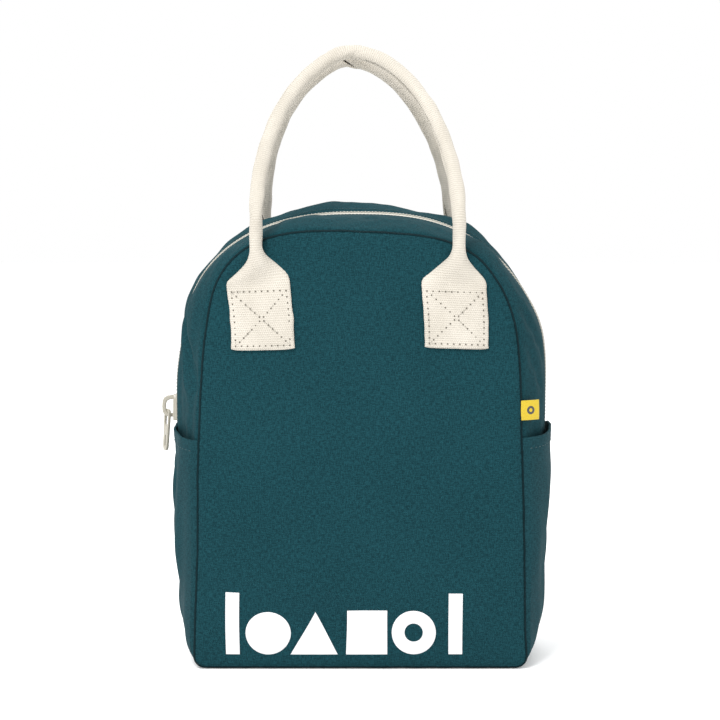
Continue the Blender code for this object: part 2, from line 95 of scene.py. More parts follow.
# Creases of the front strip: leg, both ends as (y, z), width and depth. A negative depth is a ridge.
STRIP_CREASES = (("left", (-20.0, 212.0), (-46.0, 158.0), 3.4, 4.0),
                 ("left", (-14.0, 208.0), (-38.0, 152.0), 2.6, -1.8),
                 ("right", (-46.0, 214.0), (-18.0, 176.0), 4.0, 2.2),
                 ("right", (-47.0, 196.0), (-26.0, 156.0), 3.6, 1.8))
# Name, place and size in metres, and power in watts.
LIGHTS = (("key", (-0.7, -1.3, 1.9), 0.9, 44.0), ("fill", (1.7, -1.1, 0.7), 1.4, 6.0),
          ("rim", (0.2, 1.3, 1.9), 1.0, 16.0))
LIGHTS_AIM = (0.0, 0.0, 0.15)
EYE = (-0.0003, -1.2, 0.249)
AIM = (-0.0003, 0.0, 0.1771)
LENS = 99.8                           # fitted to the photograph for the eye's distance
SENSOR = 36.0


# ---------------------------------------------------------------- geometry in arrays

def smooth(value):
    value = np.clip(value, 0.0, 1.0)
    return value * value * (3.0 - 2.0 * value)


def lerp(a, b, share):
    return a + (b - a) * share


def unit(vectors):
    return vectors / np.maximum(np.linalg.norm(vectors, axis=-1, keepdims=True), 1e-9)


def run_lengths(path):
    steps = np.linalg.norm(np.diff(path, axis=0), axis=1)
    return np.concatenate(([0.0], np.cumsum(steps)))


def resample(path, count):
    path = np.asarray(path, float)
    run = run_lengths(path)
    at = np.linspace(0.0, run[-1], count)
    return np.stack([np.interp(at, run, path[:, k]) for k in range(path.shape[1])], axis=1)


def outward(path, closed=False):
    """Unit normals of a counter-clockwise X-Z path, pointing out of the bag."""
    if closed:
        along = np.roll(path, -1, axis=0) - np.roll(path, 1, axis=0)
    else:
        along = np.gradient(path, axis=0)
    along = unit(along)
    return np.stack((along[:, 1], -along[:, 0]), axis=1)


def ripple(points, wavelength, seed, waves=14):
    """Smooth noise of about unit size over any number of dimensions."""
    rng = np.random.default_rng(seed)
    total = np.zeros(points.shape[:-1])
    for _ in range(waves):
        direction = unit(rng.normal(size=points.shape[-1]))
        size = wavelength * rng.uniform(0.7, 1.5)
        total += np.sin(points @ direction * (TAU / size) + rng.uniform(0, TAU))
    return total / math.sqrt(waves / 2)


def slack(points, share=1.0):
    """Unevenness of soft fabric. Nothing moves on the floor or beside the slider."""
    points = np.asarray(points, float)
    shift = np.stack([ripple(points, 95.0, seed) for seed in (11, 12, 13)], axis=-1)
    shift *= np.array(DRIFT)
    y = points[..., 1]
    inner = 1 - np.clip(np.abs(y) / SEAM_Y, 0.0, 1.0) ** 2
    z = points[..., 2]
    shift[..., 0] += 1.3 * inner * smooth((z - 110.0) / 40.0) * (1 - smooth((z - 190.0) / 25.0))
    shift[..., 0] -= 1.6 * smooth((z - 200.0) / 30.0)
    crest = CREST * smooth((y + 2.0) / 26.0) * (1 - smooth((y - 24.0) / 24.0))
    out = unit(np.stack((points[..., 0], z - 150.0), axis=-1))
    sideways = np.where(points[..., 0] < 0, 0.6, 0.15)
    shift[..., 0] += crest * smooth((z - 172.0) / 45.0) * out[..., 0] * sideways
    shift[..., 2] += crest * smooth((z - 190.0) / 45.0) * np.maximum(out[..., 1], 0.0)
    shift[..., 2] += ZIP_RIDGE * smooth((z - 215.0) / 25.0) * np.exp(-(y / 9.0) ** 2)
    free = smooth((points[..., 2] - 1.0) / 30.0)
    free = free * smooth((np.linalg.norm(points - SLIDER_AT, axis=-1) - 14.0) / 30.0)
    return points + shift * (free * share)[..., None]


def crease(across, along, a, b, width, depth):
    """Depth of a soft valley along the segment a-b, for points given by two coordinates."""
    a, b = np.array(a, float), np.array(b, float)
    point = np.stack(np.broadcast_arrays(across, along), axis=-1) - a
    line = b - a
    share = np.clip(point @ line / (line @ line), 0.0, 1.0)
    distance = np.linalg.norm(point - share[..., None] * line, axis=-1)
    fade = np.sin(np.pi * np.clip(share, 0.04, 0.96))
    return depth * fade * np.exp(-(distance / width) ** 2)


def quarter_arch(half, base, rise, power):
    angle = np.linspace(0.0, math.pi / 2, 90)
    path = np.stack((half * np.cos(angle) ** (2 / power), base + rise * np.sin(angle) ** (2 / power)), axis=1)
    path[-1] = (0.0, base + rise)
    return path


def over_top(path):
    return np.concatenate((path, path[-2::-1] * (-1, 1)))


def mid_x(z):
    share = np.clip((z - MID_CORNER) / (BELT_TOP_Z - MID_CORNER), 0.0, 1.0)
    return lerp(MID_HALF_LOW, MID_HALF, share ** 3)


def seam_x(z):
    start = SEAM_LOW_Z + SEAM_CORNER
    return lerp(SEAM_HALF_LOW, SEAM_HALF, np.clip((z - start) / (FOLD_Z - start), 0.0, 1.0))


def arch_paths(count, low_z=None):
    """Middle and seam outlines over the arch, station by station, with legs down to low_z."""
    arch = quarter_arch(MID_HALF, LEG_TOP_Z, MID_TOP_Z - LEG_TOP_Z, 2.4)
    mid = resample(over_top(np.concatenate((((MID_HALF, FOLD_Z),), arch))), count)
    seam = resample(over_top(quarter_arch(SEAM_HALF, FOLD_Z, SEAM_TOP_Z - FOLD_Z, 3.5)), count)
    if low_z is None:
        return mid, seam
    z = np.arange(low_z, FOLD_Z - 0.5, 1.6)
    legs = [np.stack((x(z), z), axis=1) for x in (mid_x, seam_x)]
    return [np.concatenate((leg, arch, leg[::-1] * (-1, 1))) for leg, arch in zip(legs, (mid, seam))]


def side_paths(corner_steps=14, side_steps=70):
    """Right half of the belt that runs down one side and under the bag, from the bottom corner up."""
    angle = np.linspace(-math.pi / 2, 0.0, corner_steps)
    paths = []
    for half, low, radius, x_at in ((MID_HALF_LOW, 0.0, MID_CORNER, mid_x),
                                    (SEAM_HALF_LOW, SEAM_LOW_Z, SEAM_CORNER, seam_x)):
        turn = np.stack((half - radius + radius * np.cos(angle), low + radius + radius * np.sin(angle)),
                        axis=1)
        z = np.linspace(low + radius, BELT_TOP_Z, side_steps + 1)[1:]
        paths.append(np.concatenate((turn, np.stack((x_at(z), z), axis=1))))
    climb = np.concatenate((np.linspace(0.0, 1.0, corner_steps), np.ones(side_steps)))
    return paths[0], paths[1], smooth(climb)


def belt_paths():
    """The whole belt, left top to right top, with how far each station is from flat (0) to upright (1)."""
    mid, seam, climb = side_paths()
    x = np.linspace(-1.0, 1.0, 60)[1:-1]
    low_mid = np.stack((x * mid[0, 0], np.zeros_like(x)), axis=1)
    low_seam = np.stack((x * seam[0, 0], np.full_like(x, SEAM_LOW_Z)), axis=1)
    mid = np.concatenate((mid[::-1] * (-1, 1), low_mid, mid))
    seam = np.concatenate((seam[::-1] * (-1, 1), low_seam, seam))
    return mid, seam, np.concatenate((climb[::-1], np.zeros_like(x), climb))


def side_share(y):
    return np.clip(np.abs(y) / SEAM_Y, 0.0, 1.0) ** 2


def bottom_share(y):
    return np.clip((np.abs(y) / SEAM_Y - 0.75) / 0.25, 0.0, 1.0) ** 2


def at_depth(path, y):
    """Points in space of an X-Z path, all at one Y."""
    return np.column_stack((path[:, 0], np.full(len(path), y), path[:, 1]))


def skin(mid, seam, profile, climb=None, lift=None):
    """Grid of points over the skin. profile has (y, depth) rows; lift(row points, y) raises them."""
    rows = []
    for y, depth in profile:
        share = side_share(y)
        if climb is not None:
            share = lerp(bottom_share(y), share, climb)[:, None]
        outline = lerp(mid, seam, share)
        normal = outward(outline)
        height = -depth * np.ones(len(outline))
        if lift is not None:
            height = height + lift(at_depth(outline, y), y)
        rows.append(at_depth(outline + normal * height[:, None], y))
    return np.array(rows)


def seam_width(z):
    z = np.asarray(z, float)
    rise = np.clip((z - FOLD_Z) / (SEAM_TOP_Z - FOLD_Z), 0.0, 1.0)
    high = SEAM_HALF * (1 - rise ** 3.5) ** (1 / 3.5)
    return np.where(z >= FOLD_Z, high, lerp(SEAM_HALF_LOW, SEAM_HALF, z / FOLD_Z))


def swell(x, z):
    middle = (SEAM_TOP_Z + SEAM_LOW_Z) / 2
    tall = np.clip(1 - np.abs((z - middle) / (SEAM_TOP_Z - middle)) ** 4, 0.0, 1.0)
    wide = np.clip(1 - np.abs(x / np.maximum(seam_width(z), 1.0)) ** 3, 0.0, 1.0)
    relief = 0.35 * ripple(np.stack(np.broadcast_arrays(x, z), axis=-1), 55.0, 21)
    return (BULGE + relief) * tall * wide


def panel_point(side, x, z, lift=0.0):
    """Point of a panel's outer face, lift millimetres above it."""
    x, z = np.broadcast_arrays(np.asarray(x, float), np.asarray(z, float))
    y = side * (PANEL_FACE + swell(x, z) + lift)
    return slack(np.stack((x, y, z), axis=-1))


# ---------------------------------------------------------------- meshes

def grid_faces(rows, columns, closed=False):
    """Quads of a grid of vertices; closed joins the last row to the first."""
    index = np.arange(rows * columns).reshape(rows, columns)
    if closed:
        index = np.concatenate((index, index[:1]))
    return np.stack((index[:-1, :-1], index[:-1, 1:], index[1:, 1:], index[1:, :-1]), axis=-1).reshape(-1, 4)


def ring_faces(rings, columns, start=0):
    """Quads between closed rings of vertices, the first vertex being number start."""
    faces = []
    for low in range(start, start + (rings - 1) * columns, columns):
        for c in range(columns):
            d = (c + 1) % columns
            faces.append((low + c, low + d, low + columns + d, low + columns + c))
    return faces


def linked(name, data):
    thing = bpy.data.objects.new(name, data)
    bpy.context.scene.collection.objects.link(thing)
    return thing


def add_mesh(name, vertices, faces, material, uv=None, sharp=None, recalc=True):
    """Object from vertices and per-vertex UVs in millimetres, each in an array of any shape, and faces."""
    mesh = bpy.data.meshes.new(name)
    points = np.asarray(vertices, float).reshape(-1, 3) * MM
    mesh.from_pydata(points.tolist(), [], [list(map(int, f)) for f in faces])
    if uv is not None:
        layer = mesh.uv_layers.new(name="cloth")
        index = np.zeros(len(mesh.loops), np.int32)
        mesh.loops.foreach_get("vertex_index", index)
        lengths = np.asarray(uv, float).reshape(-1, 2)[index] * MM
        layer.data.foreach_set("uv", lengths.astype(np.float32).ravel())
    if recalc:
        bm = bmesh.new()
        bm.from_mesh(mesh)
        bmesh.ops.recalc_face_normals(bm, faces=bm.faces)
        bm.to_mesh(mesh)
        bm.free()
    mesh.shade_smooth()
    if sharp is not None:
        mesh.set_sharp_from_angle(angle=math.radians(sharp))
    mesh.materials.append(material)
    return linked(name, mesh)


def shell(name, outer, inner, uv, material):
    """Closed sheet between two grids, with a round edge along its first and last row."""
    half = (outer[0] + inner[0]) / 2 + unit(outer[0] - outer[1]) * 0.3
    end = (outer[-1] + inner[-1]) / 2 + unit(outer[-1] - outer[-2]) * 0.3
    rows = np.concatenate((outer, end[None], inner[::-1], half[None]))
    uv_rows = np.concatenate((uv, uv[-1:], uv[::-1], uv[:1]))
    count, columns = rows.shape[:2]
    faces = list(grid_faces(count, columns, closed=True))
    for column in (0, columns - 1):
        for r in range(len(outer) - 1):
            mirrored = count - 2 - r
            a, b = r * columns + column, (r + 1) * columns + column
            c, d = (mirrored - 1) * columns + column, mirrored * columns + column
            faces.append((a, b, c, d))
        faces.append(((len(outer) - 1) * columns + column, len(outer) * columns + column,
                      (len(outer) + 1) * columns + column))
        faces.append((column, (count - 1) * columns + column, (count - 2) * columns + column))
    return add_mesh(name, rows, faces, material, uv_rows, sharp=60)


def surface_uv(grid):
    """UVs of a grid by the lengths along its middle row and middle column."""
    rows, columns = grid.shape[:2]
    u = run_lengths(grid[rows // 2])
    v = run_lengths(grid[:, columns // 2])
    return np.stack(np.meshgrid(u, v), axis=-1)


def scatter(name, proto, places, along, normal, size, material, shift=0.0):
    """One mesh of copies of a small unit shape, each laid along its own direction."""
    vertices, faces = proto
    along = unit(along)
    across = unit(np.cross(normal, along))
    normal = np.cross(along, across)
    scaled = vertices * np.asarray(size)
    points = (places[:, None] + scaled[None, :, :1] * along[:, None] + scaled[None, :, 1:2] * across[:, None]
              + (scaled[None, :, 2:] + shift) * normal[:, None])
    offset = np.arange(len(places)) * len(vertices)
    every = [tuple(i + o for i in face) for o in offset for face in faces]
    uv = np.tile(vertices[:, :2] * 2.0, (len(places), 1))
    return add_mesh(name, points, every, material, uv, recalc=False)


def unit_shape(bm):
    """Vertices and faces of a bmesh, which is then freed."""
    bm.verts.index_update()
    shape = np.array([v.co for v in bm.verts]), [tuple(v.index for v in f.verts) for f in bm.faces]
    bm.free()
    return shape


def unit_bead(segments=8, rings=6):
    bm = bmesh.new()
    bmesh.ops.create_uvsphere(bm, u_segments=segments, v_segments=rings, radius=0.5)
    bmesh.ops.rotate(bm, cent=(0, 0, 0), verts=bm.verts, matrix=Matrix.Rotation(math.pi / 2, 3, "Y"))
    return unit_shape(bm)


def unit_block(bevel):
    bm = bmesh.new()
    bmesh.ops.create_cube(bm, size=1.0)
    bmesh.ops.bevel(bm, geom=list(bm.edges), offset=bevel, segments=2, affect="EDGES", profile=0.5)
    return unit_shape(bm)


def join(name, pieces):
    """Join separate objects into one."""
    bm = bmesh.new()
    for piece in pieces:
        bm.from_mesh(piece.data)
    mesh = bpy.data.meshes.new(name)
    bm.to_mesh(mesh)
    bm.free()
    mesh.materials.append(pieces[0].data.materials[0])
    for piece in pieces:
        bpy.data.objects.remove(piece)
    return linked(name, mesh)


# ---------------------------------------------------------------- materials

class Shader:
    """Small wrapper for building a node material."""

    def __init__(self, name):
        self.material = bpy.data.materials.new(name)
        self.material.use_nodes = True
        self.tree = self.material.node_tree
        self.out = self.tree.nodes["Principled BSDF"]
        self.uv = self.node("ShaderNodeUVMap", uv_map="cloth").outputs[0]

    def node(self, kind, **settings):
        made = self.tree.nodes.new(kind)
        for key, value in settings.items():
            setattr(made, key, value)
        return made

    def feed(self, socket, value):
        if isinstance(value, bpy.types.NodeSocket):
            self.tree.links.new(value, socket)
        else:
            socket.default_value = value

    def math(self, operation, *values):
        made = self.node("ShaderNodeMath", operation=operation)
        for socket, value in zip(made.inputs, values):
            self.feed(socket, value)
        return made.outputs[0]

    def stretched(self, scale, source=None):
        made = self.node("ShaderNodeVectorMath", operation="MULTIPLY")
        self.feed(made.inputs[0], source or self.uv)
        made.inputs[1].default_value = scale
        return made.outputs[0]

    def noise(self, scale, detail=2.0, rough=0.55, source=None):
        """Noise with its grain size set by a scale in 1/millimetre for each direction."""
        made = self.node("ShaderNodeTexNoise")
        self.feed(made.inputs["Vector"], self.stretched([s / MM for s in scale], source))
        made.inputs["Scale"].default_value = 1.0
        made.inputs["Detail"].default_value = detail
        made.inputs["Roughness"].default_value = rough
        return made.outputs["Fac"]

    def axes(self):
        made = self.node("ShaderNodeSeparateXYZ")
        self.feed(made.inputs[0], self.uv)
        return made.outputs[0], made.outputs[1]

    def wave(self, value, pitch):
        """Sine of a length in metres, one cycle per pitch in millimetres."""
        return self.math("SINE", self.math("MULTIPLY_ADD", value, TAU / (pitch * MM), 0.0))

    def mix(self, share, a, b):
        made = self.node("ShaderNodeMix", data_type="RGBA")
        self.feed(made.inputs[0], share)
        for socket, value in ((made.inputs[6], a), (made.inputs[7], b)):
            self.feed(socket, (*value, 1.0) if isinstance(value, tuple) else value)
        return made.outputs[2]

    def span(self, value, low, high, out_low=0.0, out_high=1.0):
        made = self.node("ShaderNodeMapRange")
        for socket, number in zip(made.inputs, (value, low, high, out_low, out_high)):
            self.feed(socket, number)
        return made.outputs[0]

    def bump(self, height, distance, strength):
        made = self.node("ShaderNodeBump")
        made.inputs["Distance"].default_value = distance * MM
        made.inputs["Strength"].default_value = strength
        self.feed(made.inputs["Height"], height)
        return made.outputs[0]

    def finish(self, colour, roughness, normal=None, **constants):
        self.feed(self.out.inputs["Base Color"], (*colour, 1.0) if isinstance(colour, tuple) else colour)
        self.feed(self.out.inputs["Roughness"], roughness)
        if normal is not None:
            self.feed(self.out.inputs["Normal"], normal)
        for name, value in constants.items():
            self.out.inputs[name.replace("_", " ")].default_value = value
        return self.material


def canvas_material(name, dark, light, sheen):
    """Woven cotton canvas with uneven yarns in both directions."""
    s = Shader(name)
    u, v = s.axes()
    weave = s.math("MULTIPLY", s.wave(u, WEAVE), s.wave(v, WEAVE))
    yarns = s.math("ADD", s.noise((1.9, 0.35, 1.0)), s.noise((0.35, 1.9, 1.0)))
    mottle = s.noise((1.5, 1.5, 1.0), detail=3.0, rough=0.8)
    broad = s.noise((0.018, 0.018, 1.0), detail=2.0)
    tone = s.math("ADD", s.span(yarns, 0.82, 1.18, -0.2, 0.7), s.span(mottle, 0.38, 0.62, -0.2, 0.56))
    # The weave's own height also darkens its crevices a little: painted shade between the yarns.
    tone = s.math("ADD", tone, s.span(weave, -1.0, 1.0, -0.05, 0.05))
    tone = s.math("ADD", tone, s.span(broad, 0.3, 0.7, -0.02, 0.14))
    height = s.math("ADD", s.math("MULTIPLY", weave, 0.5), s.math("MULTIPLY", yarns, 0.7))
    return s.finish(s.mix(tone, dark, light), s.span(mottle, 0.3, 0.7, 0.8, 0.95),
                    s.bump(height, 0.16, 0.55), Sheen_Weight=sheen, Sheen_Roughness=0.45,
                    Sheen_Tint=(0.62, 0.85, 0.9, 1.0), Specular_IOR_Level=0.08)


def webbing_material(name, dark, light, rib=1.3, warp=1.15):
    """Heavy cotton webbing: cross ribs, with the warp yarns passing over and under them."""
    s = Shader(name)
    u, v = s.axes()
    ribs = s.wave(v, rib)
    knuckle = s.math("MULTIPLY", s.wave(u, warp), s.wave(v, rib * 2))
    fuzz = s.noise((1.8, 1.2, 1.0), detail=3.0, rough=0.7)
    broad = s.noise((0.05, 0.03, 1.0))
    height = s.math("ADD", s.math("MULTIPLY", ribs, 0.35), s.math("MULTIPLY", knuckle, 0.45))
    height = s.math("ADD", height, fuzz)
    # Colour follows the rib and knuckle height, darker in the hollows: painted shade between the yarns, with
    # the fuzz noise adding real tone.
    tone = s.math("ADD", s.span(height, -0.3, 1.3, 0.0, 0.75), s.span(broad, 0.3, 0.7, 0.0, 0.3))
    return s.finish(s.mix(tone, dark, light), 0.9, s.bump(height, 0.28, 0.7), Sheen_Weight=0.15,
                    Sheen_Roughness=0.5, Sheen_Tint=(1.0, 0.97, 0.9, 1.0), Specular_IOR_Level=0.25)


def tape_material():
    s = Shader("zip_tape_weave")
    u, v = s.axes()
    slant = s.math("ADD", u, s.math("PINGPONG", v, 1.6 * MM))
    twill = s.wave(slant, 0.9)
    fuzz = s.noise((1.4, 1.4, 1.0))
    tone = s.math("ADD", s.span(twill, -1.0, 1.0, 0.2, 0.8), s.span(fuzz, 0.3, 0.7, -0.2, 0.2))
    return s.finish(s.mix(tone, (0.46, 0.435, 0.375), (0.64, 0.615, 0.555)), 0.8, s.bump(twill, 0.1, 0.6),
                    Sheen_Weight=0.1)


def hard_material(name, dark, light, roughness, coat, worn):
    """Moulded or enamelled piece with faint flow marks and rubbed patches."""
    s = Shader(name)
    place = s.node("ShaderNodeTexCoord").outputs["Object"]
    flow = s.noise((0.5, 0.5, 0.16), detail=3.0, source=place)
    scuff = s.noise((2.2, 2.2, 0.7), detail=4.0, rough=0.7, source=place)
    rubbed = s.span(scuff, 0.58, 0.74, 0.0, 1.0)
    colour = s.mix(s.math("MULTIPLY", rubbed, 0.4), s.mix(flow, dark, light), worn)
    rough = s.math("ADD", s.math("MULTIPLY", rubbed, 0.2), roughness)
    return s.finish(colour, rough, s.bump(scuff, 0.03, 0.35), Coat_Weight=coat, Coat_Roughness=0.25)


def lining_material():
    """Coated lining cloth: pale, slightly glossy, with a faint pressed grid."""
    s = Shader("lining_coated")
    u, v = s.axes()
    grid = s.math("MAXIMUM", s.wave(u, 3.0), s.wave(v, 3.0))
    crumple = s.noise((0.06, 0.06, 1.0), detail=4.0)
    height = s.math("ADD", s.math("MULTIPLY", grid, 0.1), s.math("MULTIPLY", crumple, 2.0))
    tone = s.math("ADD", s.span(crumple, 0.3, 0.7, 0.0, 0.8), s.math("MULTIPLY", grid, 0.1))
    return s.finish(s.mix(tone, (0.5, 0.5, 0.47), (0.68, 0.68, 0.65)), 0.42, s.bump(height, 0.6, 0.5),
                    Coat_Weight=0.15, Coat_Roughness=0.4)


def print_material():
    """Screen-printed ink over canvas: the weave shows through as fine gaps."""
    s = Shader("ink_white")
    u, v = s.axes()
    weave = s.math("MULTIPLY", s.wave(u, WEAVE), s.wave(v, WEAVE))
    speck = s.noise((1.6, 1.6, 1.0), detail=3.0, rough=0.7)
    thin = s.math("MULTIPLY", s.span(speck, 0.6, 0.78, 0.0, 1.0), 0.35)
    height = s.math("ADD", weave, speck)
    return s.finish(s.mix(thin, (0.7, 0.7, 0.71), (0.27, 0.34, 0.37)), 0.6, s.bump(height, 0.08, 0.5))


def label_material(name, dark, light):
    s = Shader(name)
    u, v = s.axes()
    satin = s.wave(v, 0.45)
    fuzz = s.noise((0.7, 2.0, 1.0))
    tone = s.math("ADD", s.span(satin, -1.0, 1.0, 0.25, 0.7), s.span(fuzz, 0.3, 0.7, -0.2, 0.3))
    return s.finish(s.mix(tone, dark, light), 0.55, s.bump(satin, 0.06, 0.6), Sheen_Weight=0.1)


def floor_material():
    s = Shader("floor_paper")
    place = s.node("ShaderNodeTexCoord").outputs["Object"]
    grain = s.noise((0.4, 0.4, 0.4), detail=2.0, source=place)
    s.out.inputs["Emission Color"].default_value = (1.0, 1.0, 1.0, 1.0)
    s.out.inputs["Emission Strength"].default_value = 0.12
    return s.finish(s.mix(grain, (0.9, 0.9, 0.9), (0.93, 0.93, 0.93)), 0.9, Specular_IOR_Level=0.1)


LOOKS = {
    "panel": canvas_material("canvas_panel", (0.00315, 0.0231, 0.0294), (0.00875, 0.0518, 0.0644), 0.0),
    "gusset": canvas_material("canvas_gusset", (0.00315, 0.0231, 0.0294), (0.00875, 0.0511, 0.063), 0.02),
    # The pocket canvas is a little paler and greyer than the gusset's: painted sheen of light grazing the
    # bag's sides.
    "pocket": canvas_material("canvas_pocket_painted_sheen", (0.0042, 0.0245, 0.0308), (0.01085, 0.0518, 0.0637), 0.04),
    # The seam strip's near-black canvas is painted shade of the groove between panel and gusset.
    "seam": canvas_material("canvas_seam_painted_shade", (0.0012, 0.009, 0.0115), (0.003, 0.018, 0.0225), 0.0),
    "webbing": webbing_material("webbing_cotton", (0.38, 0.348, 0.288), (0.63, 0.59, 0.525)),
    "thread": webbing_material("thread_cotton", (0.35, 0.322, 0.266), (0.56, 0.532, 0.462), *THREAD),
    "teal_thread": webbing_material("thread_teal", (0.0056, 0.0315, 0.0392), (0.021, 0.084, 0.098), *THREAD),
    # Needle holes are dark beads: their dark colour is painted shade inside the holes.
    "hole": webbing_material("needle_hole_shade", (0.112, 0.098, 0.077), (0.21, 0.189, 0.154), *THREAD),
    "tape": tape_material(),
    "teeth": hard_material("teeth_moulded", (0.35, 0.336, 0.287), (0.462, 0.448, 0.392), 0.38, 0.1,
                           (0.504, 0.49, 0.441)),
    "metal": hard_material("zip_enamel", (0.315, 0.294, 0.238), (0.392, 0.371, 0.308), 0.3, 0.4,
                           (0.448, 0.434, 0.385)),
    "lining": lining_material(),
    "ink": print_material(),
    "label": label_material("label_yellow", (0.434, 0.294, 0.0028), (0.602, 0.448, 0.0084)),
    "mark": label_material("label_mark", (0.02, 0.02, 0.02), (0.06, 0.06, 0.06)),
}


def place(thing, slot, body=None, nodes=()):
    """Fasten a finished piece to a body, or, when no body is given, bake its transform into its mesh and
    leave it without one, as for the pieces across the front fold.
    """
    if body is None:
        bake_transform(thing)
    else:
        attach(thing, body)
    if nodes:
        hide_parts(*nodes)
    return thing


# ---------------------------------------------------------------- panels

def closed_outline():
    """Seam outline all round, counter-clockwise from the right bottom corner."""
    _, seam, _ = side_paths(14, 60)
    _, arch = arch_paths(200)
    bottom = np.stack((np.linspace(-seam[0, 0], seam[0, 0], 70)[1:-1], np.full(68, SEAM_LOW_Z)), axis=1)
    path = np.concatenate((seam, arch[1:-1], seam[::-1] * (-1, 1), bottom))
    looped = np.concatenate((path, path[:1]))
    return resample(looped, 561)[:-1]


def panel_grid(rim, inner_margin=0.0):
    """Rings of (x, z, depth below the face) from the seam to the middle. rim has (inset, depth) rows."""
    outline = closed_outline()
    normal = outward(outline, closed=True)
    if inner_margin:
        outline = outline - normal * inner_margin
    rings = [np.column_stack((outline - normal * inset, np.full(len(outline), depth)))
             for inset, depth in rim]
    start = rings[-1][:, :2]
    middle = np.array((0.0, 130.0))
    for share in np.linspace(1.0, 0.02, 46)[1:]:
        rings.append(np.column_stack((middle + (start - middle) * share, np.zeros(len(start)))))
    return np.array(rings)


def make_panel(name, side, body, nodes):
    rim = ((1.6, 4.2), (0.7, 3.7), (0.3, 2.9), (0.35, 2.1), (0.8, 1.35), (1.6, 0.75), (2.8, 0.3), (4.8, 0.0))
    rings = panel_grid(rim)
    x, z = rings[..., 0], rings[..., 1]
    around = np.linspace(0.0, 1.0, x.shape[1], endpoint=False) * OUTLINE_RUN
    fade = np.zeros(len(rings))
    fade[2:9] = (0.1, 0.2, 0.3, 0.7, 1.0, 0.5, 0.0)
    pucker = fade[:, None] * 0.22 * ripple(around[:, None], 11.0, 31 + side)[None]
    points = panel_point(side, x, z, 0.0)
    points[..., 1] += side * (pucker - rings[..., 2])
    columns = points.shape[1]
    vertices = np.concatenate((points.reshape(-1, 3), points[-1].mean(axis=0)[None]))
    faces = ring_faces(*points.shape[:2])
    last = (len(points) - 1) * columns
    faces.extend((last + c, last + (c + 1) % columns, len(vertices) - 1) for c in range(columns))
    uv = vertices[:, (0, 2)]
    return place(add_mesh(name, vertices, faces, LOOKS["panel"], uv), "canvas", body, nodes)


def make_seam_shade_strip(word, side, body):
    """Narrow turned edge of canvas lying deep in the seam, all round a panel, coloured near black as painted
    shade of the seam's groove.
    """
    outline = closed_outline()
    normal = outward(outline, closed=True)
    around = np.linspace(0.0, 1.0, len(outline), endpoint=False) * OUTLINE_RUN
    wander = 0.06 * ripple(around[:, None], 40.0, 33 + side)
    rows = []
    for inset, depth in ((1.25, 1.7), (0.8, 1.1), (0.4, 1.5), (0.0, 2.1), (-0.4, 2.9)):
        ring = outline - normal * (inset + wander)[:, None]
        points = panel_point(side, ring[:, 0], ring[:, 1])
        points[..., 1] -= side * depth
        rows.append(points)
    rows = np.array(rows)
    uv = np.stack(np.broadcast_arrays(around[None], np.arange(len(rows))[:, None] * 0.7), axis=-1)
    place(add_mesh(f"{word}_seam_painted_shade_strip", rows, ring_faces(*rows.shape[:2]), LOOKS["seam"], uv), "canvas", body)


def make_panel_lining(name, side, body, nodes):
    rings = panel_grid(((0.0, 0.0), (1.0, 0.0)), inner_margin=2.4)
    x, z = rings[..., 0], rings[..., 1]
    hang = 0.5 * ripple(np.stack((x, z), axis=-1) * (1.0, 0.4), 30.0, 41 + side)
    edge = smooth(np.arange(len(rings)) / 10.0)[:, None]
    points = panel_point(side, x, z, -3.5)
    points[..., 1] -= side * np.abs(hang) * edge
    columns = points.shape[1]
    vertices = points.reshape(-1, 3)
    back = vertices + (0.0, -side * 0.6, 0.0)
    faces = []
    for start in (0, len(vertices)):
        faces.extend(ring_faces(*points.shape[:2], start))
        last = start + (len(points) - 1) * columns
        faces.append(tuple(range(last, last + columns)))
    faces.extend((c, (c + 1) % columns, len(vertices) + (c + 1) % columns, len(vertices) + c)
                 for c in range(columns))
    both = np.concatenate((vertices, back))
    thing = add_mesh(name, both, faces, LOOKS["lining"], both[:, (0, 2)], sharp=60)
    return place(thing, "lining", body, nodes)


# ---------------------------------------------------------------- gussets, tapes and teeth

def strip_lift(points, y):
    """Puffed roll between the zip and the seam, with soft creases down its legs."""
    reach = np.clip((abs(y) - 7.0) / (49.2 - 7.0), 0.0, 1.0)
    reach = reach ** (1.7 if y < 0 else 1.0)
    roll = math.sin(math.pi * reach) ** 0.8 if 0.0 < reach < 1.0 else 0.0
    x, z = points[:, 0], points[:, 2]
    fullness = 2.6 + 0.8 * ripple(points * (1.0, 0.35, 1.0), 42.0, 51)
    fullness = fullness * lerp(0.55, 1.0, smooth((z - 125.0) / 60.0))
    lift = roll * fullness
    if y < 0:
        legs = {"left": np.where(x < 0, 1.0, 0.0), "right": np.where(x < 0, 0.0, 1.0)}
        lift = lift - (legs["left"] * LEFT_DIP * smooth((215.0 - z) / 35.0) * smooth((-y - 15.0) / 9.0)
                       * smooth((y + 49.0) / 8.0))
        for leg, start, end, width, depth in STRIP_CREASES:
            lift = lift - legs[leg] * crease(y, z, start, end, width, depth)
    fine = 0.22 * ripple(points * (1.0, 1.6, 1.0), 13.0, 53)
    return np.maximum(lift + fine * roll, LOWEST_LIFT)


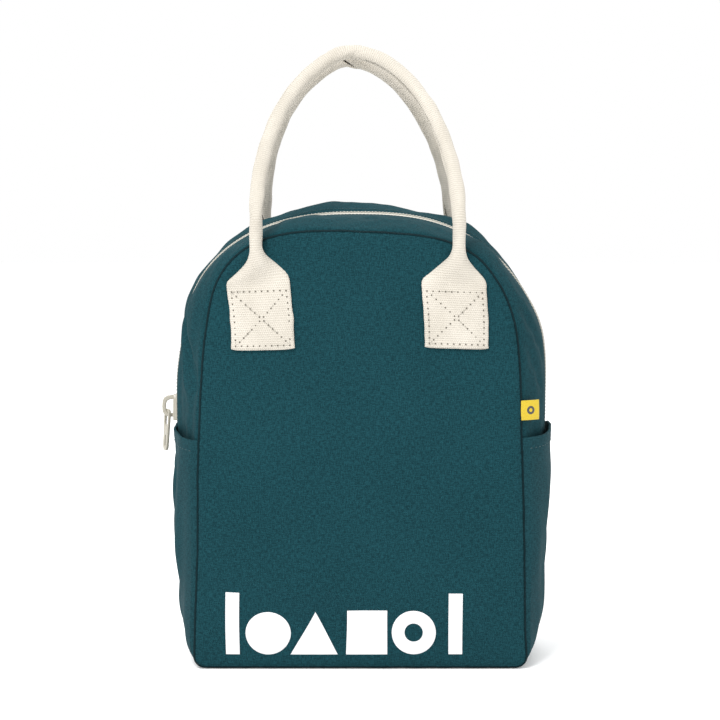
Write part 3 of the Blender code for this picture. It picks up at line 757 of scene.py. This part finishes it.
def make_strip(word, side, body, nodes):
    """Gusset strip with a folded edge by the zip and its other edge turned into the seam."""
    mid, seam = arch_paths(330, STRIP_LOW_Z)
    fold = [(10.5, 1.35), (8.0, 1.35), (7.1, 1.2), (6.65, 0.85), (6.6, 0.45), (6.95, 0.12), (7.6, 0.0)]
    open_rows = [(y, 0.0) for y in np.linspace(8.6, 47.0, 34)]
    turned = [(47.8, 0.2), (48.5, 0.8), (49.0, 1.8), (49.3, 3.2), (49.5, 5.0)]
    profile = [(side * y, depth) for y, depth in fold + open_rows + turned]
    grid = skin(mid, seam, profile, lift=strip_lift)
    dive = np.zeros(grid.shape[1])
    dive[:4] = dive[-4:][::-1] = (1.6, 1.0, 0.5, 0.15)
    grid = slack(grid - at_depth(outward(mid), 0.0)[None] * dive[None, :, None])
    thing = add_mesh(f"{word}_gusset_cloth", grid, grid_faces(*grid.shape[:2]), LOOKS["gusset"],
                     surface_uv(grid), recalc=False)
    if side > 0:
        thing.data.flip_normals()
    place(thing, "canvas", body, nodes)
    run = arch_paths(190)
    stitched = slack(skin(*run, [(side * 9.4, 0.0)], lift=strip_lift))[0]
    normal = at_depth(outward(run[0]), 0.0)
    threads = scatter(f"{word}_zip_stitching", unit_bead(), stitched, np.gradient(stitched, axis=0), normal,
                      (2.1, 0.55, 0.5), LOOKS["teal_thread"], shift=0.08)
    place(threads, "canvas", body)


def cloth_shell(name, mid, seam, rows, material, climb=None, lift=None):
    """Closed sheet over the skin, with (y, depth) rows for its outer face."""
    outer, inner = (slack(skin(mid, seam, [(y, depth + extra) for y, depth in rows], climb, lift))
                    for extra in (0.0, LINING_THICK))
    return shell(name, outer, inner, surface_uv(outer), material)


def make_tape(word, side, body, nodes):
    mid, seam = arch_paths(300)
    rows = ((1.7, 0.7), (1.9, 0.2), (2.9, -0.1), (3.7, 0.15), (4.8, 0.35), (6.0, 1.0), (7.0, 1.5), (8.2, 1.6),
            (12.5, 1.6))
    rows = [(side * y, depth) for y, depth in rows]
    place(cloth_shell(f"{word}_zip_tape_woven", mid, seam, rows, LOOKS["tape"]), "zip_tape", body, nodes)


def make_teeth(word, side, body, nodes):
    """Moulded teeth; the two rows mesh half a pitch apart."""
    mid, _ = arch_paths(3000)
    run = run_lengths(mid)
    pitch = 2.1
    at = np.arange(3.6 + (0.0 if side < 0 else pitch / 2), run[-1] - 5.0, pitch)
    centre = np.stack([np.interp(at, run, mid[:, k]) for k in (0, 1)], axis=1)
    normal = np.stack([np.interp(at, run, outward(mid)[:, k]) for k in (0, 1)], axis=1)
    keep = centre[:, 1] > 140.8
    centre, normal = centre[keep], normal[keep]
    sink = centre - normal * 0.35
    places = slack(at_depth(sink, side * 0.95))
    up = at_depth(normal, 0.0)
    across = np.tile((0.0, float(side), 0.0), (len(places), 1))
    body_part = scatter(f"{word}_teeth_bodies", unit_block(0.16), places, across, up, (3.1, 0.95, 2.3),
                        LOOKS["teeth"])
    tips = places - across * 1.35
    heads = scatter(f"{word}_teeth_heads", unit_block(0.24), tips, across, up, (0.9, 1.25, 1.7),
                    LOOKS["teeth"])
    place(join(f"{word}_zip_teeth_moulded", [body_part, heads]), "zip_teeth", body, nodes)


def make_belt():
    """One piece of canvas down both sides and under the bag."""
    mid, seam, climb = belt_paths()
    edge = [(48.3, 0.1), (48.9, 0.45), (49.4, 1.1), (49.8, 2.4)]
    rows = [(-y, d) for y, d in edge[::-1]] + [(y, 0.0) for y in np.linspace(-47.0, 47.0, 60)] + edge

    def lift(points, y):
        tuck = -1.5 * smooth((points[:, 2] - 104.0) / 16.0)
        upright = smooth((points[:, 2] - 12.0) / 40.0)
        return tuck + upright * 0.7 * ripple(points * (1.0, 1.4, 0.5), 34.0, 61)

    grid = slack(skin(mid, seam, rows, climb, lift))
    grid[..., 2] = np.maximum(grid[..., 2], 0.0)
    thing = add_mesh("side_and_bottom_cloth", grid, grid_faces(*grid.shape[:2]), LOOKS["gusset"],
                     surface_uv(grid), recalc=False)
    place(thing, "canvas", "bag_body", ("bottom_panel", "side_gusset_left", "side_gusset_right"))


def make_inner_lining():
    mid, seam, climb = belt_paths()
    rows = [(y, 2.8) for y in np.linspace(-49.1, 49.1, 40)]

    def lift(points, y):
        return -0.5 * np.abs(ripple(points, 30.0, 71)) - 0.8 * smooth((points[:, 2] - 104.0) / 16.0)

    thing = cloth_shell("lining_belt_cloth", mid, seam, rows, LOOKS["lining"], climb, lift)
    place(thing, "lining", "bag_body", ("lining_bottom", "lining_side_left", "lining_side_right"))
    for word, side, body in SIDES:
        spread = [(side * y, 2.8 + 2.4 * float(smooth((y - 13.0) / 9.0)))
                  for y in np.linspace(13.0, 49.2, 24)]
        thing = cloth_shell(f"lining_{word}_strip_cloth", *arch_paths(220), spread, LOOKS["lining"])
        place(thing, "lining", body, (f"lining_{word}_strip",))


# ---------------------------------------------------------------- pockets

POCKET_MID = np.array(((2.2, 95.8), (4.5, 100.0), (12.0, 104.2), (30.0, 108.2), (65.0, 111.2), (100.0, 112.3),
                       (137.0, 112.6)))
POCKET_SEAM = np.array(((4.7, 96.0), (8.0, 98.0), (13.5, 98.6), (137.0, 95.0)))


def soft_table(table, z):
    """Rounded reading of a table of (height, half-width)."""
    offsets = np.array((-5.0, -2.5, 0.0, 2.5, 5.0)) * np.clip(np.asarray(z)[..., None] / 25.0, 0.0, 1.0)
    return np.interp(np.asarray(z)[..., None] + offsets, table[:, 0], table[:, 1]).mean(axis=-1)


def pocket_grid(y_values, depth, side, steps=90):
    columns = []
    for y in y_values:
        reach = abs(y) / SEAM_Y
        share = reach ** 4
        start = lerp(POCKET_MID[0, 0], POCKET_SEAM[0, 0], share)
        hem = FOLD_Z + 3.2 - 6.4 * reach ** 1.1
        z = lerp(start, hem, np.linspace(0.0, 1.0, steps) ** 1.2)
        x = lerp(soft_table(POCKET_MID, z), soft_table(POCKET_SEAM, z), share)
        path = np.stack((x, z), axis=1)
        normal = outward(path)
        ridge = np.stack((np.full(steps, y) * 1.7 + side * 300.0, z * 0.32), axis=-1)
        height = (1.3 if side < 0 else 0.85) * ripple(ridge, 26.0, 81) * (1 - share)
        height = height * smooth((z - 4.0) / 20.0)
        height = height * lerp(1.0, 0.45, smooth((z - 112.0) / 20.0))
        band = smooth((z - (hem - 7.6)) / 0.9)
        groove = 0.3 * np.exp(-((z - (hem - 6.2)) / 0.7) ** 2)
        height = height + 0.45 * band - groove
        path[:, 0] -= 2.2 * smooth(z / 50.0) * (1 - share) if side < 0 else 0.0
        seam_dip = 2.2 * smooth((abs(y) - 48.2) / 1.7)
        moved = path + normal * (height - depth - seam_dip)[:, None]
        columns.append(at_depth(moved * (side, 1), y))
    return np.array(columns).transpose(1, 0, 2)


def make_pockets():
    y_values = np.concatenate((np.linspace(-49.85, -46.0, 6), np.linspace(-44.6, 44.6, 60),
                               np.linspace(46.0, 49.85, 6)))
    for word, side in (("left", -1), ("right", 1)):
        outer, inner = (slack(pocket_grid(y_values, depth, side)) for depth in (0.0, 1.3))
        for grid in (outer, inner):
            grid[..., 2] = np.maximum(grid[..., 2], 0.3)
        uv = surface_uv(outer)
        thing = shell(f"side_pocket_{word}_cloth", outer, inner, uv[..., ::-1], LOOKS["pocket"])
        place(thing, "canvas", "bag_body", (f"side_pocket_{word}",))
        tops = pocket_grid(np.linspace(-47.5, 47.5, 36), 0.0, side, steps=400)
        z = tops[..., 2]
        row = np.argmin(np.abs(z - (z[-1] - 6.3)), axis=0)
        line = slack(tops[row, np.arange(tops.shape[1])])
        normal = np.tile((float(side), 0.0, 0.0), (len(line), 1))
        threads = scatter(f"pocket_{word}_hem_stitching", unit_bead(), line, np.gradient(line, axis=0),
                          normal, (1.9, 0.55, 0.5), LOOKS["teal_thread"], shift=0.1)
        place(threads, "canvas", "bag_body")


# ---------------------------------------------------------------- handles

def strap_stations(hand):
    """Centre line of one leg, from the bottom of its patch to the top of the loop, for the front handle."""
    foot, neck = PATCH_X[hand], NECK_X[hand]
    patch_z = np.linspace(PATCH_LOW, PATCH_HIGH, 26)
    face = -(PANEL_FACE + swell(np.full(26, foot), patch_z) + 0.2 + STRAP_THICK / 2)
    patch = np.column_stack((np.full(26, foot), face, patch_z))
    rise = np.linspace(PATCH_HIGH, 246.0, 26)[1:]
    flare = np.column_stack((lerp(foot, neck, smooth((rise - 226.0) / 20.0)),
                             lerp(face[-1], -58.0, smooth((rise - PATCH_HIGH) / 24.0)), rise))
    angle = np.linspace(0.0, math.pi / 2, 100)
    up = np.sin(angle)
    middle = (NECK_X[-1] + NECK_X[1]) / 2
    loop = np.column_stack((middle + (neck - middle) * np.cos(angle) ** 1.08, -lerp(57.2, 6.4, up),
                            LOOP_LOW_Z + LOOP_RISE * up))
    return np.concatenate((patch, flare, loop))


def whole_strap(side):
    left, right = strap_stations(-1), strap_stations(1)
    path = np.concatenate((left, right[-2::-1]))
    dense = resample(path, 430)
    for _ in range(6):
        dense[1:-1] = (dense[:-2] + 2 * dense[1:-1] + dense[2:]) / 4
    high = smooth((dense[:, 2] - LOOP_LOW_Z) / 80.0)
    dense[:, 0] -= 1.0 * high
    dense[:, 2] += 1.2 * np.exp(-((dense[:, 0] + 10.0) / 9.0) ** 2) * high
    if side > 0:
        dense[:, 2] -= BACK_LOOP_DROP * high
        dense[:, 0] -= BACK_LOOP_SHIFT * high
    return dense


def strap_sections(path, side):
    """Grid of the strap's outer and inner face: flat on the panel, rolled into a tube round the loop."""
    along = unit(np.gradient(path, axis=0))
    front = np.tile((0.0, -1.0, 0.0), (len(path), 1))
    front = unit(front - along * np.sum(front * along, axis=1)[:, None])
    lateral = np.cross(along, front)
    run = run_lengths(path)
    total = run[-1]
    from_end = np.minimum(run, total - run)
    curl = smooth((path[:, 2] - 223.5) / 23.0) * 0.94 + 0.001
    middle = run / total
    twist = (smooth((middle - 0.16) / 0.1) - 2 * smooth((middle - 0.45) / 0.07)
             + smooth((middle - 0.72) / 0.16))
    twist = np.radians(105.0) * twist
    turned_front = front * np.cos(twist)[:, None] + lateral * np.sin(twist)[:, None]
    turned_side = lateral * np.cos(twist)[:, None] - front * np.sin(twist)[:, None]
    q = np.linspace(-1.0, 1.0, 33)
    half = curl * math.pi
    radius = STRAP / 2 / half
    phi = q[None] * half[:, None]
    squash = lerp(1.0, lerp(0.42, 0.52, smooth((path[:, 2] - LOOP_LOW_Z) / 50.0)), curl)[:, None]
    w = radius[:, None] * np.sin(phi) * squash
    f = radius[:, None] * (np.cos(phi) - (np.sin(half) / half)[:, None]) * lerp(1.0, 0.56, curl)[:, None]
    base = path[:, None] + turned_side[:, None] * w[..., None] + turned_front[:, None] * f[..., None]
    nw, nf = np.sin(phi), np.cos(phi)
    normal = unit(turned_side[:, None] * nw[..., None] + turned_front[:, None] * nf[..., None])
    round_edge = np.sqrt(np.clip(1.0 - np.clip((np.abs(q) - 0.955) / 0.045, 0.0, 1.0) ** 2, 0.0, 1.0))
    thick = STRAP_THICK / 2 * lerp(0.25, 1.0, round_edge)[None]
    ends = smooth(from_end / 1.2)
    thick = thick * lerp(0.35, 1.0, ends)[:, None]
    worn = 0.12 * ripple(np.stack(np.broadcast_arrays(run[:, None], q[None] * 19.0), axis=-1), 14.0, 91)
    wavy = 0.09 * ripple(np.stack((run, np.zeros_like(run)), axis=-1), 9.0, 92)
    selvedge = (np.sign(q) * np.clip((np.abs(q) - 0.8) / 0.2, 0.0, 1.0))[None] * wavy[:, None]
    base = base + turned_side[:, None] * selvedge[..., None] * (1 - curl)[:, None, None]
    outer = base + normal * (thick + worn * (thick > 0.6))[..., None]
    inner = base - normal * thick[..., None]
    corner = (1 - smooth(from_end / 3.2))[:, None] * (np.abs(q)[None] ** 8) * 0.8
    for grid in (outer, inner):
        grid += along[:, None] * (corner * np.where(run < total / 2, 1.0, -1.0)[:, None])[..., None]
    uv = np.stack(np.broadcast_arrays(q[None] * STRAP / 2, run[:, None]), axis=-1)
    if side > 0:
        outer, inner = outer * (1, -1, 1), inner * (1, -1, 1)
    return outer, inner, uv


def settle_on_panel(grid, path_z, side):
    """Lay the sewn part of a strap on the panel's own curve."""
    x, z = grid[..., 0], grid[..., 2]
    curve = swell(x, z) - swell(np.where(x < 0, PATCH_X[-1], PATCH_X[1]), z)
    grid[..., 1] += side * curve * (1 - smooth((path_z - PATCH_HIGH + 1.0) / 9.0))[:, None]
    return slack(grid, (1 - smooth((path_z - PATCH_HIGH) / 22.0))[:, None])


def make_strap(word, side, nodes):
    path = whole_strap(side)
    outer, inner, uv = strap_sections(path, side)
    outer, inner = (settle_on_panel(grid, path[:, 2], side) for grid in (outer, inner))
    rows = np.concatenate((outer.transpose(1, 0, 2), inner.transpose(1, 0, 2)[::-1]))
    uv_rows = np.concatenate((uv.transpose(1, 0, 2), uv.transpose(1, 0, 2)[::-1]))
    count, columns = rows.shape[:2]
    faces = list(grid_faces(count, columns, closed=True))
    half = count // 2
    for column in (0, columns - 1):
        for r in range(half - 1):
            faces.append((r * columns + column, (r + 1) * columns + column,
                          (count - 2 - r) * columns + column, (count - 1 - r) * columns + column))
    thing = add_mesh(f"{word}_strap_webbing", rows, faces, LOOKS["webbing"], uv_rows, sharp=70)
    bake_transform(thing)
    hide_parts(*nodes)


def stitch_box(side):
    """Places and directions of the stitches of both patches: a box with a cross in it."""
    half_wide, low, high = STRAP / 2 - 2.6, PATCH_LOW + 2.6, PATCH_HIGH - 1.6
    corners = ((-half_wide, low), (half_wide, low), (half_wide, high), (-half_wide, high))
    cross = [(corners[0], corners[2]), (corners[1], corners[3])]
    lines = list(zip(corners, corners[1:] + corners[:1])) + cross
    places, along = [], []
    for hand in (-1, 1):
        for a, b in lines:
            count = max(int(math.dist(a, b) / 3.3), 1)
            for i in range(count):
                share = (i + 0.5) / count
                places.append((PATCH_X[hand] + lerp(a[0], b[0], share), lerp(a[1], b[1], share)))
                along.append((b[0] - a[0], 0.0, b[1] - a[1]))
    places, along = np.array(places), unit(np.array(along))
    points = panel_point(side, places[:, 0], places[:, 1], 0.2 + STRAP_THICK)
    normal = np.tile((0.0, float(side), 0.0), (len(points), 1))
    return points, along, normal


def make_patch_stitching(word, side, body):
    points, along, normal = stitch_box(side)
    threads = scatter(f"{word}_strap_stitching", unit_bead(), points, along, normal, (2.0, 0.7, 0.5),
                      LOOKS["thread"], shift=-0.22)
    place(threads, "webbing", body)
    # Dark beads at the stitch ends: painted shade in the needle holes.
    holes = scatter(f"{word}_strap_needle_holes", unit_bead(), points + along * 1.65, along, normal,
                    (1.0, 0.9, 0.3), LOOKS["hole"], shift=0.2)
    place(holes, "webbing", body)


# ---------------------------------------------------------------- small pieces

def flat_plate(name, outline, holes, thickness, bevel, material):
    """Plate from 2-D outlines with rounded edges, lying in X-Y, in millimetres."""
    curve = bpy.data.curves.new(name, "CURVE")
    curve.dimensions = "2D"
    curve.fill_mode = "BOTH"
    curve.extrude = (thickness / 2 - bevel) * MM
    curve.bevel_depth = bevel * MM
    curve.bevel_resolution = 3
    curve.offset = -bevel * MM
    for loop in [outline] + holes:
        spline = curve.splines.new("POLY")
        spline.points.add(len(loop) - 1)
        for point, (a, b) in zip(spline.points, loop):
            point.co = (a * MM, b * MM, 0.0, 1.0)
        spline.use_cyclic_u = True
    thing = linked(name + "_outline", curve)
    bpy.context.view_layer.update()
    mesh = bpy.data.meshes.new_from_object(thing.evaluated_get(bpy.context.evaluated_depsgraph_get()))
    bpy.data.objects.remove(thing)
    bm = bmesh.new()
    bm.from_mesh(mesh)
    bmesh.ops.remove_doubles(bm, verts=bm.verts, dist=1e-6)
    bm.to_mesh(mesh)
    bm.free()
    mesh.materials.clear()
    mesh.materials.append(material)
    mesh.shade_smooth()
    mesh.set_sharp_from_angle(angle=math.radians(50))
    return linked(name, mesh)


def rounded(half_wide, low, high, radius, steps=8):
    """Rounded rectangle, counter-clockwise."""
    points = []
    for cx, cy, start in ((half_wide - radius, low + radius, -90), (half_wide - radius, high - radius, 0),
                          (-half_wide + radius, high - radius, 90), (-half_wide + radius, low + radius, 180)):
        for i in range(steps + 1):
            angle = math.radians(start + 90 * i / steps)
            points.append((cx + radius * math.cos(angle), cy + radius * math.sin(angle)))
    return points


def turn_mesh(thing, matrix, shift):
    """Apply a 3x3 turn, given by rows, and a shift in millimetres."""
    count = len(thing.data.vertices)
    points = np.zeros(count * 3)
    thing.data.vertices.foreach_get("co", points)
    points = points.reshape(-1, 3) @ np.array(matrix, float).T + np.array(shift) * MM
    thing.data.vertices.foreach_set("co", points.ravel())
    thing.data.update()


TO_YZ = ((0, 0, 1), (1, 0, 0), (0, 1, 0))     # a plate's own X and Y become Y and Z
TO_XZ = ((1, 0, 0), (0, 0, -1), (0, 1, 0))    # a plate's own X and Y become X and Z


def make_slider():
    shield = [(4.4, 141.0), (4.5, 145.5), (4.1, 149.0), (3.5, 152.0), (3.3, 156.0), (2.6, 156.6),
              (-2.6, 156.6), (-3.3, 156.0), (-3.5, 152.0), (-4.1, 149.0), (-4.5, 145.5), (-4.4, 141.0),
              (-3.4, 140.9), (-1.4, 142.0), (0.0, 142.6), (1.4, 142.0), (3.4, 140.9)]
    post = [(-112.0, 146.0), (-105.0, 146.0), (-105.0, 154.0), (-112.0, 154.0)]
    bridge = [(-111.6, 142.8), (-115.9, 142.9), (-118.0, 143.8), (-119.3, 145.8), (-119.6, 149.0),
              (-119.3, 152.6), (-118.2, 154.7), (-116.2, 155.8), (-111.6, 156.2), (-111.6, 153.7),
              (-115.0, 153.3), (-116.4, 152.6), (-117.1, 151.2), (-117.2, 149.0), (-117.0, 146.9),
              (-116.5, 145.8), (-115.4, 145.2), (-111.6, 145.1)]
    flange = rounded(1.7, 141.4, 153.5, 1.2)
    plates = []
    for name, outline, thickness, bevel, matrix, shift in (
            ("slider_outer_plate", shield, 3.0, 0.6, TO_YZ, (-111.2, 0, 0)),
            ("slider_inner_plate", shield, 1.3, 0.4, TO_YZ, (-105.2, 0, 0)),
            ("slider_post", post, 1.4, 0.3, TO_XZ, (0, 0, 0)),
            ("slider_crown", bridge, 1.9, 0.6, TO_XZ, (0, 0, 0)),
            ("slider_flange", flange, 1.5, 0.45, TO_XZ, (-109.6, -4.0, 0)),
            ("slider_flange", flange, 1.5, 0.45, TO_XZ, (-109.6, 4.0, 0))):
        plates.append(flat_plate(name, outline, [], thickness, bevel, LOOKS["metal"]))
        turn_mesh(plates[-1], matrix, shift)
    place(join("zip_slider_cast", plates), "zip_metal", "zip_slider", ("zip_slider_body",))


def make_pull():
    """Slim pull, hanging turned a little in the crown, with a window and a slot."""
    outline = rounded(3.4, -24.4, 0.9, 3.0)
    outline = [(a * lerp(1.0, 0.82, smooth((-b - 8.0) / 10.0)), b) for a, b in outline]
    window = rounded(2.2, -9.2, -0.9, 1.8)[::-1]
    slot_hole = rounded(0.8, -21.6, -15.0, 0.75)[::-1]
    pull = flat_plate("zip_pull_plate", outline, [window, slot_hole], 1.7, 0.45, LOOKS["metal"])
    twist, tilt = math.radians(30.0), math.radians(3.5)
    about_z = np.array(((math.cos(twist), -math.sin(twist), 0), (math.sin(twist), math.cos(twist), 0),
                        (0, 0, 1)))
    about_y = np.array(((math.cos(tilt), 0, math.sin(tilt)), (0, 1, 0), (-math.sin(tilt), 0, math.cos(tilt))))
    turn_mesh(pull, about_y @ about_z @ np.array(TO_YZ, float), PULL_AXIS)
    place(pull, "zip_metal", "zip_pull", ("zip_pull_tab",))


def make_stops():
    block = unit_block(0.18)
    for name, x, y, width, body in (("zip_top_stop_front", -108.1, -1.65, 1.5, None),
                                    ("zip_top_stop_back", -108.1, 1.65, 1.5, "bag_body"),
                                    ("zip_bottom_stop", 108.1, 0.0, 4.8, "bag_body")):
        thing = scatter(name + "_cast", block, np.array(((x, y, 139.0),)), np.array(((0.0, 1.0, 0.0),)),
                        np.array(((1.0, 0.0, 0.0),)), (width, 2.8, 3.0), LOOKS["metal"])
        place(thing, "zip_metal", body, (name,))


def make_label():
    """Folded woven label sewn into the right front seam, with a plain ring on it."""
    root, turn = np.array((92.2, -51.0)), math.radians(22.6)
    along, across = np.array((math.cos(turn), math.sin(turn))), np.array((-math.sin(turn), math.cos(turn)))

    def point(s, z, lift):
        bow = 0.7 * np.sin(np.pi * s / LABEL_LONG) + 0.25 * np.sin((z - 145.0) / 3.0)
        flat = root + along * s[..., None] - across * (bow + lift)[..., None]
        return np.stack((flat[..., 0], flat[..., 1], z + 0.35 * s / LABEL_LONG * np.ones_like(s)), axis=-1)

    z, s = np.meshgrid(np.linspace(145.2, 156.6, 20), np.linspace(0.0, LABEL_LONG, 24))
    tip = 0.5 * np.sqrt(np.clip(1 - np.clip((s - 11.7) / 0.5, 0, 1) ** 2, 0.02, 1.0))
    front, back = point(s, z, tip), point(s, z, -tip)
    uv = np.stack((s, z), axis=-1)
    thing = shell("side_label_woven", front, back, uv, LOOKS["label"])
    place(thing, "label", None, ("side_label",))
    angle, radius = np.meshgrid(np.linspace(0, TAU, 33), np.linspace(1.3, 2.2, 5))
    ring_s, ring_z = 6.2 + radius * np.cos(angle), 150.9 + radius * np.sin(angle)
    ring = point(ring_s, ring_z, np.full(ring_s.shape, 0.53))
    under = point(ring_s, ring_z, np.full(ring_s.shape, 0.45))
    mark = shell("side_label_ring", ring, under, np.stack((ring_s, ring_z), axis=-1), LOOKS["mark"])
    place(mark, "label", None)


def make_print():
    """A row of plain shapes low on the front, each a thin film of white ink over (x, z) rows."""
    def bar(x0, x1, z0, z1):
        return np.stack(np.meshgrid(np.linspace(x0, x1, 16), np.linspace(z0, z1, 24)), axis=-1)

    def ring(cx, cz, r0, r1, start=0.0, end=TAU):
        angle, radius = np.meshgrid(np.linspace(start, end, 64), np.linspace(r0, r1, 12))
        return np.stack((cx + radius * np.cos(angle), cz + radius * np.sin(angle)), axis=-1)

    def triangle(cx, z0, half, tall):
        rows = []
        for share in np.linspace(0.0, 0.985, 24):
            rows.append(np.stack((np.linspace(cx - half * (1 - share), cx + half * (1 - share), 24),
                                  np.full(24, z0 + tall * share)), axis=1))
        return np.array(rows)

    shapes = (bar(-78.0, -70.0, 9.5, 45.0), ring(-53.5, 22.0, 0.3, 12.5), triangle(-27.0, 9.5, 13.5, 25.0),
              bar(-8.5, 15.5, 9.5, 34.5), ring(31.0, 22.0, 5.6, 12.5), bar(51.0, 59.0, 9.5, 45.0))
    pieces = []
    for i, shape in enumerate(shapes):
        top, low = (panel_point(-1, shape[..., 0], shape[..., 1], lift) for lift in (0.22, 0.02))
        pieces.append(shell(f"ink_{i}", top, low, shape, LOOKS["ink"]))
    place(join("front_print_shapes", pieces), "canvas", "bag_body")


# ---------------------------------------------------------------- stage

def make_stage():
    bm = bmesh.new()
    bmesh.ops.create_grid(bm, x_segments=8, y_segments=8, size=20.0)
    mesh = bpy.data.meshes.new("floor")
    bm.to_mesh(mesh)
    bm.free()
    mesh.materials.append(floor_material())
    floor = linked("floor", mesh)
    world = bpy.data.worlds.new("studio")
    world.use_nodes = True
    world.node_tree.nodes["Background"].inputs["Color"].default_value = (1.0, 1.0, 1.0, 1.0)
    world.node_tree.nodes["Background"].inputs["Strength"].default_value = 1.0
    bpy.context.scene.world = world
    bpy.context.scene.view_settings.view_transform = "Standard"
    for name, place_at, size, power in LIGHTS:
        lamp = bpy.data.lights.new(name, "AREA")
        lamp.energy = power
        lamp.size = size
        thing = linked(name, lamp)
        thing.location = place_at
        thing.rotation_euler = (Vector(LIGHTS_AIM) - Vector(place_at)).to_track_quat("-Z", "Y").to_euler()


def make_camera():
    camera = bpy.data.cameras.new("camera")
    camera.lens = LENS
    camera.sensor_width = SENSOR
    thing = linked("camera", camera)
    thing.location = EYE
    thing.rotation_euler = (Vector(AIM) - Vector(EYE)).to_track_quat("-Z", "Y").to_euler()
    bpy.context.scene.camera = thing


def main():
    make_panel("front_panel_cloth", -1, None, ("front_panel_lower", "front_panel_upper"))
    make_panel("back_panel_cloth", 1, "bag_body", ("back_panel",))
    make_seam_shade_strip("front", -1, None)
    make_seam_shade_strip("back", 1, "bag_body")
    make_panel_lining("lining_front_cloth", -1, None, ("lining_front_lower", "lining_front_upper"))
    make_panel_lining("lining_back_cloth", 1, "bag_body", ("lining_back",))
    for word, side, body in SIDES:
        make_strip(word, side, body, (f"{word}_gusset_strip",))
        make_tape(word, side, body, (f"{word}_zip_tape",))
        make_teeth(word, side, body, (f"{word}_zip_teeth",))
        holder = "front_flap" if word == "front" else "bag_body"
        make_strap(word, side, (f"{word}_patch_left", f"{word}_patch_right", f"{word}_handle_strap"))
        make_patch_stitching(word, side, holder)
    make_belt()
    make_inner_lining()
    make_pockets()
    make_stops()
    make_slider()
    make_pull()
    make_label()
    make_print()
    make_stage()
    make_camera()


main()
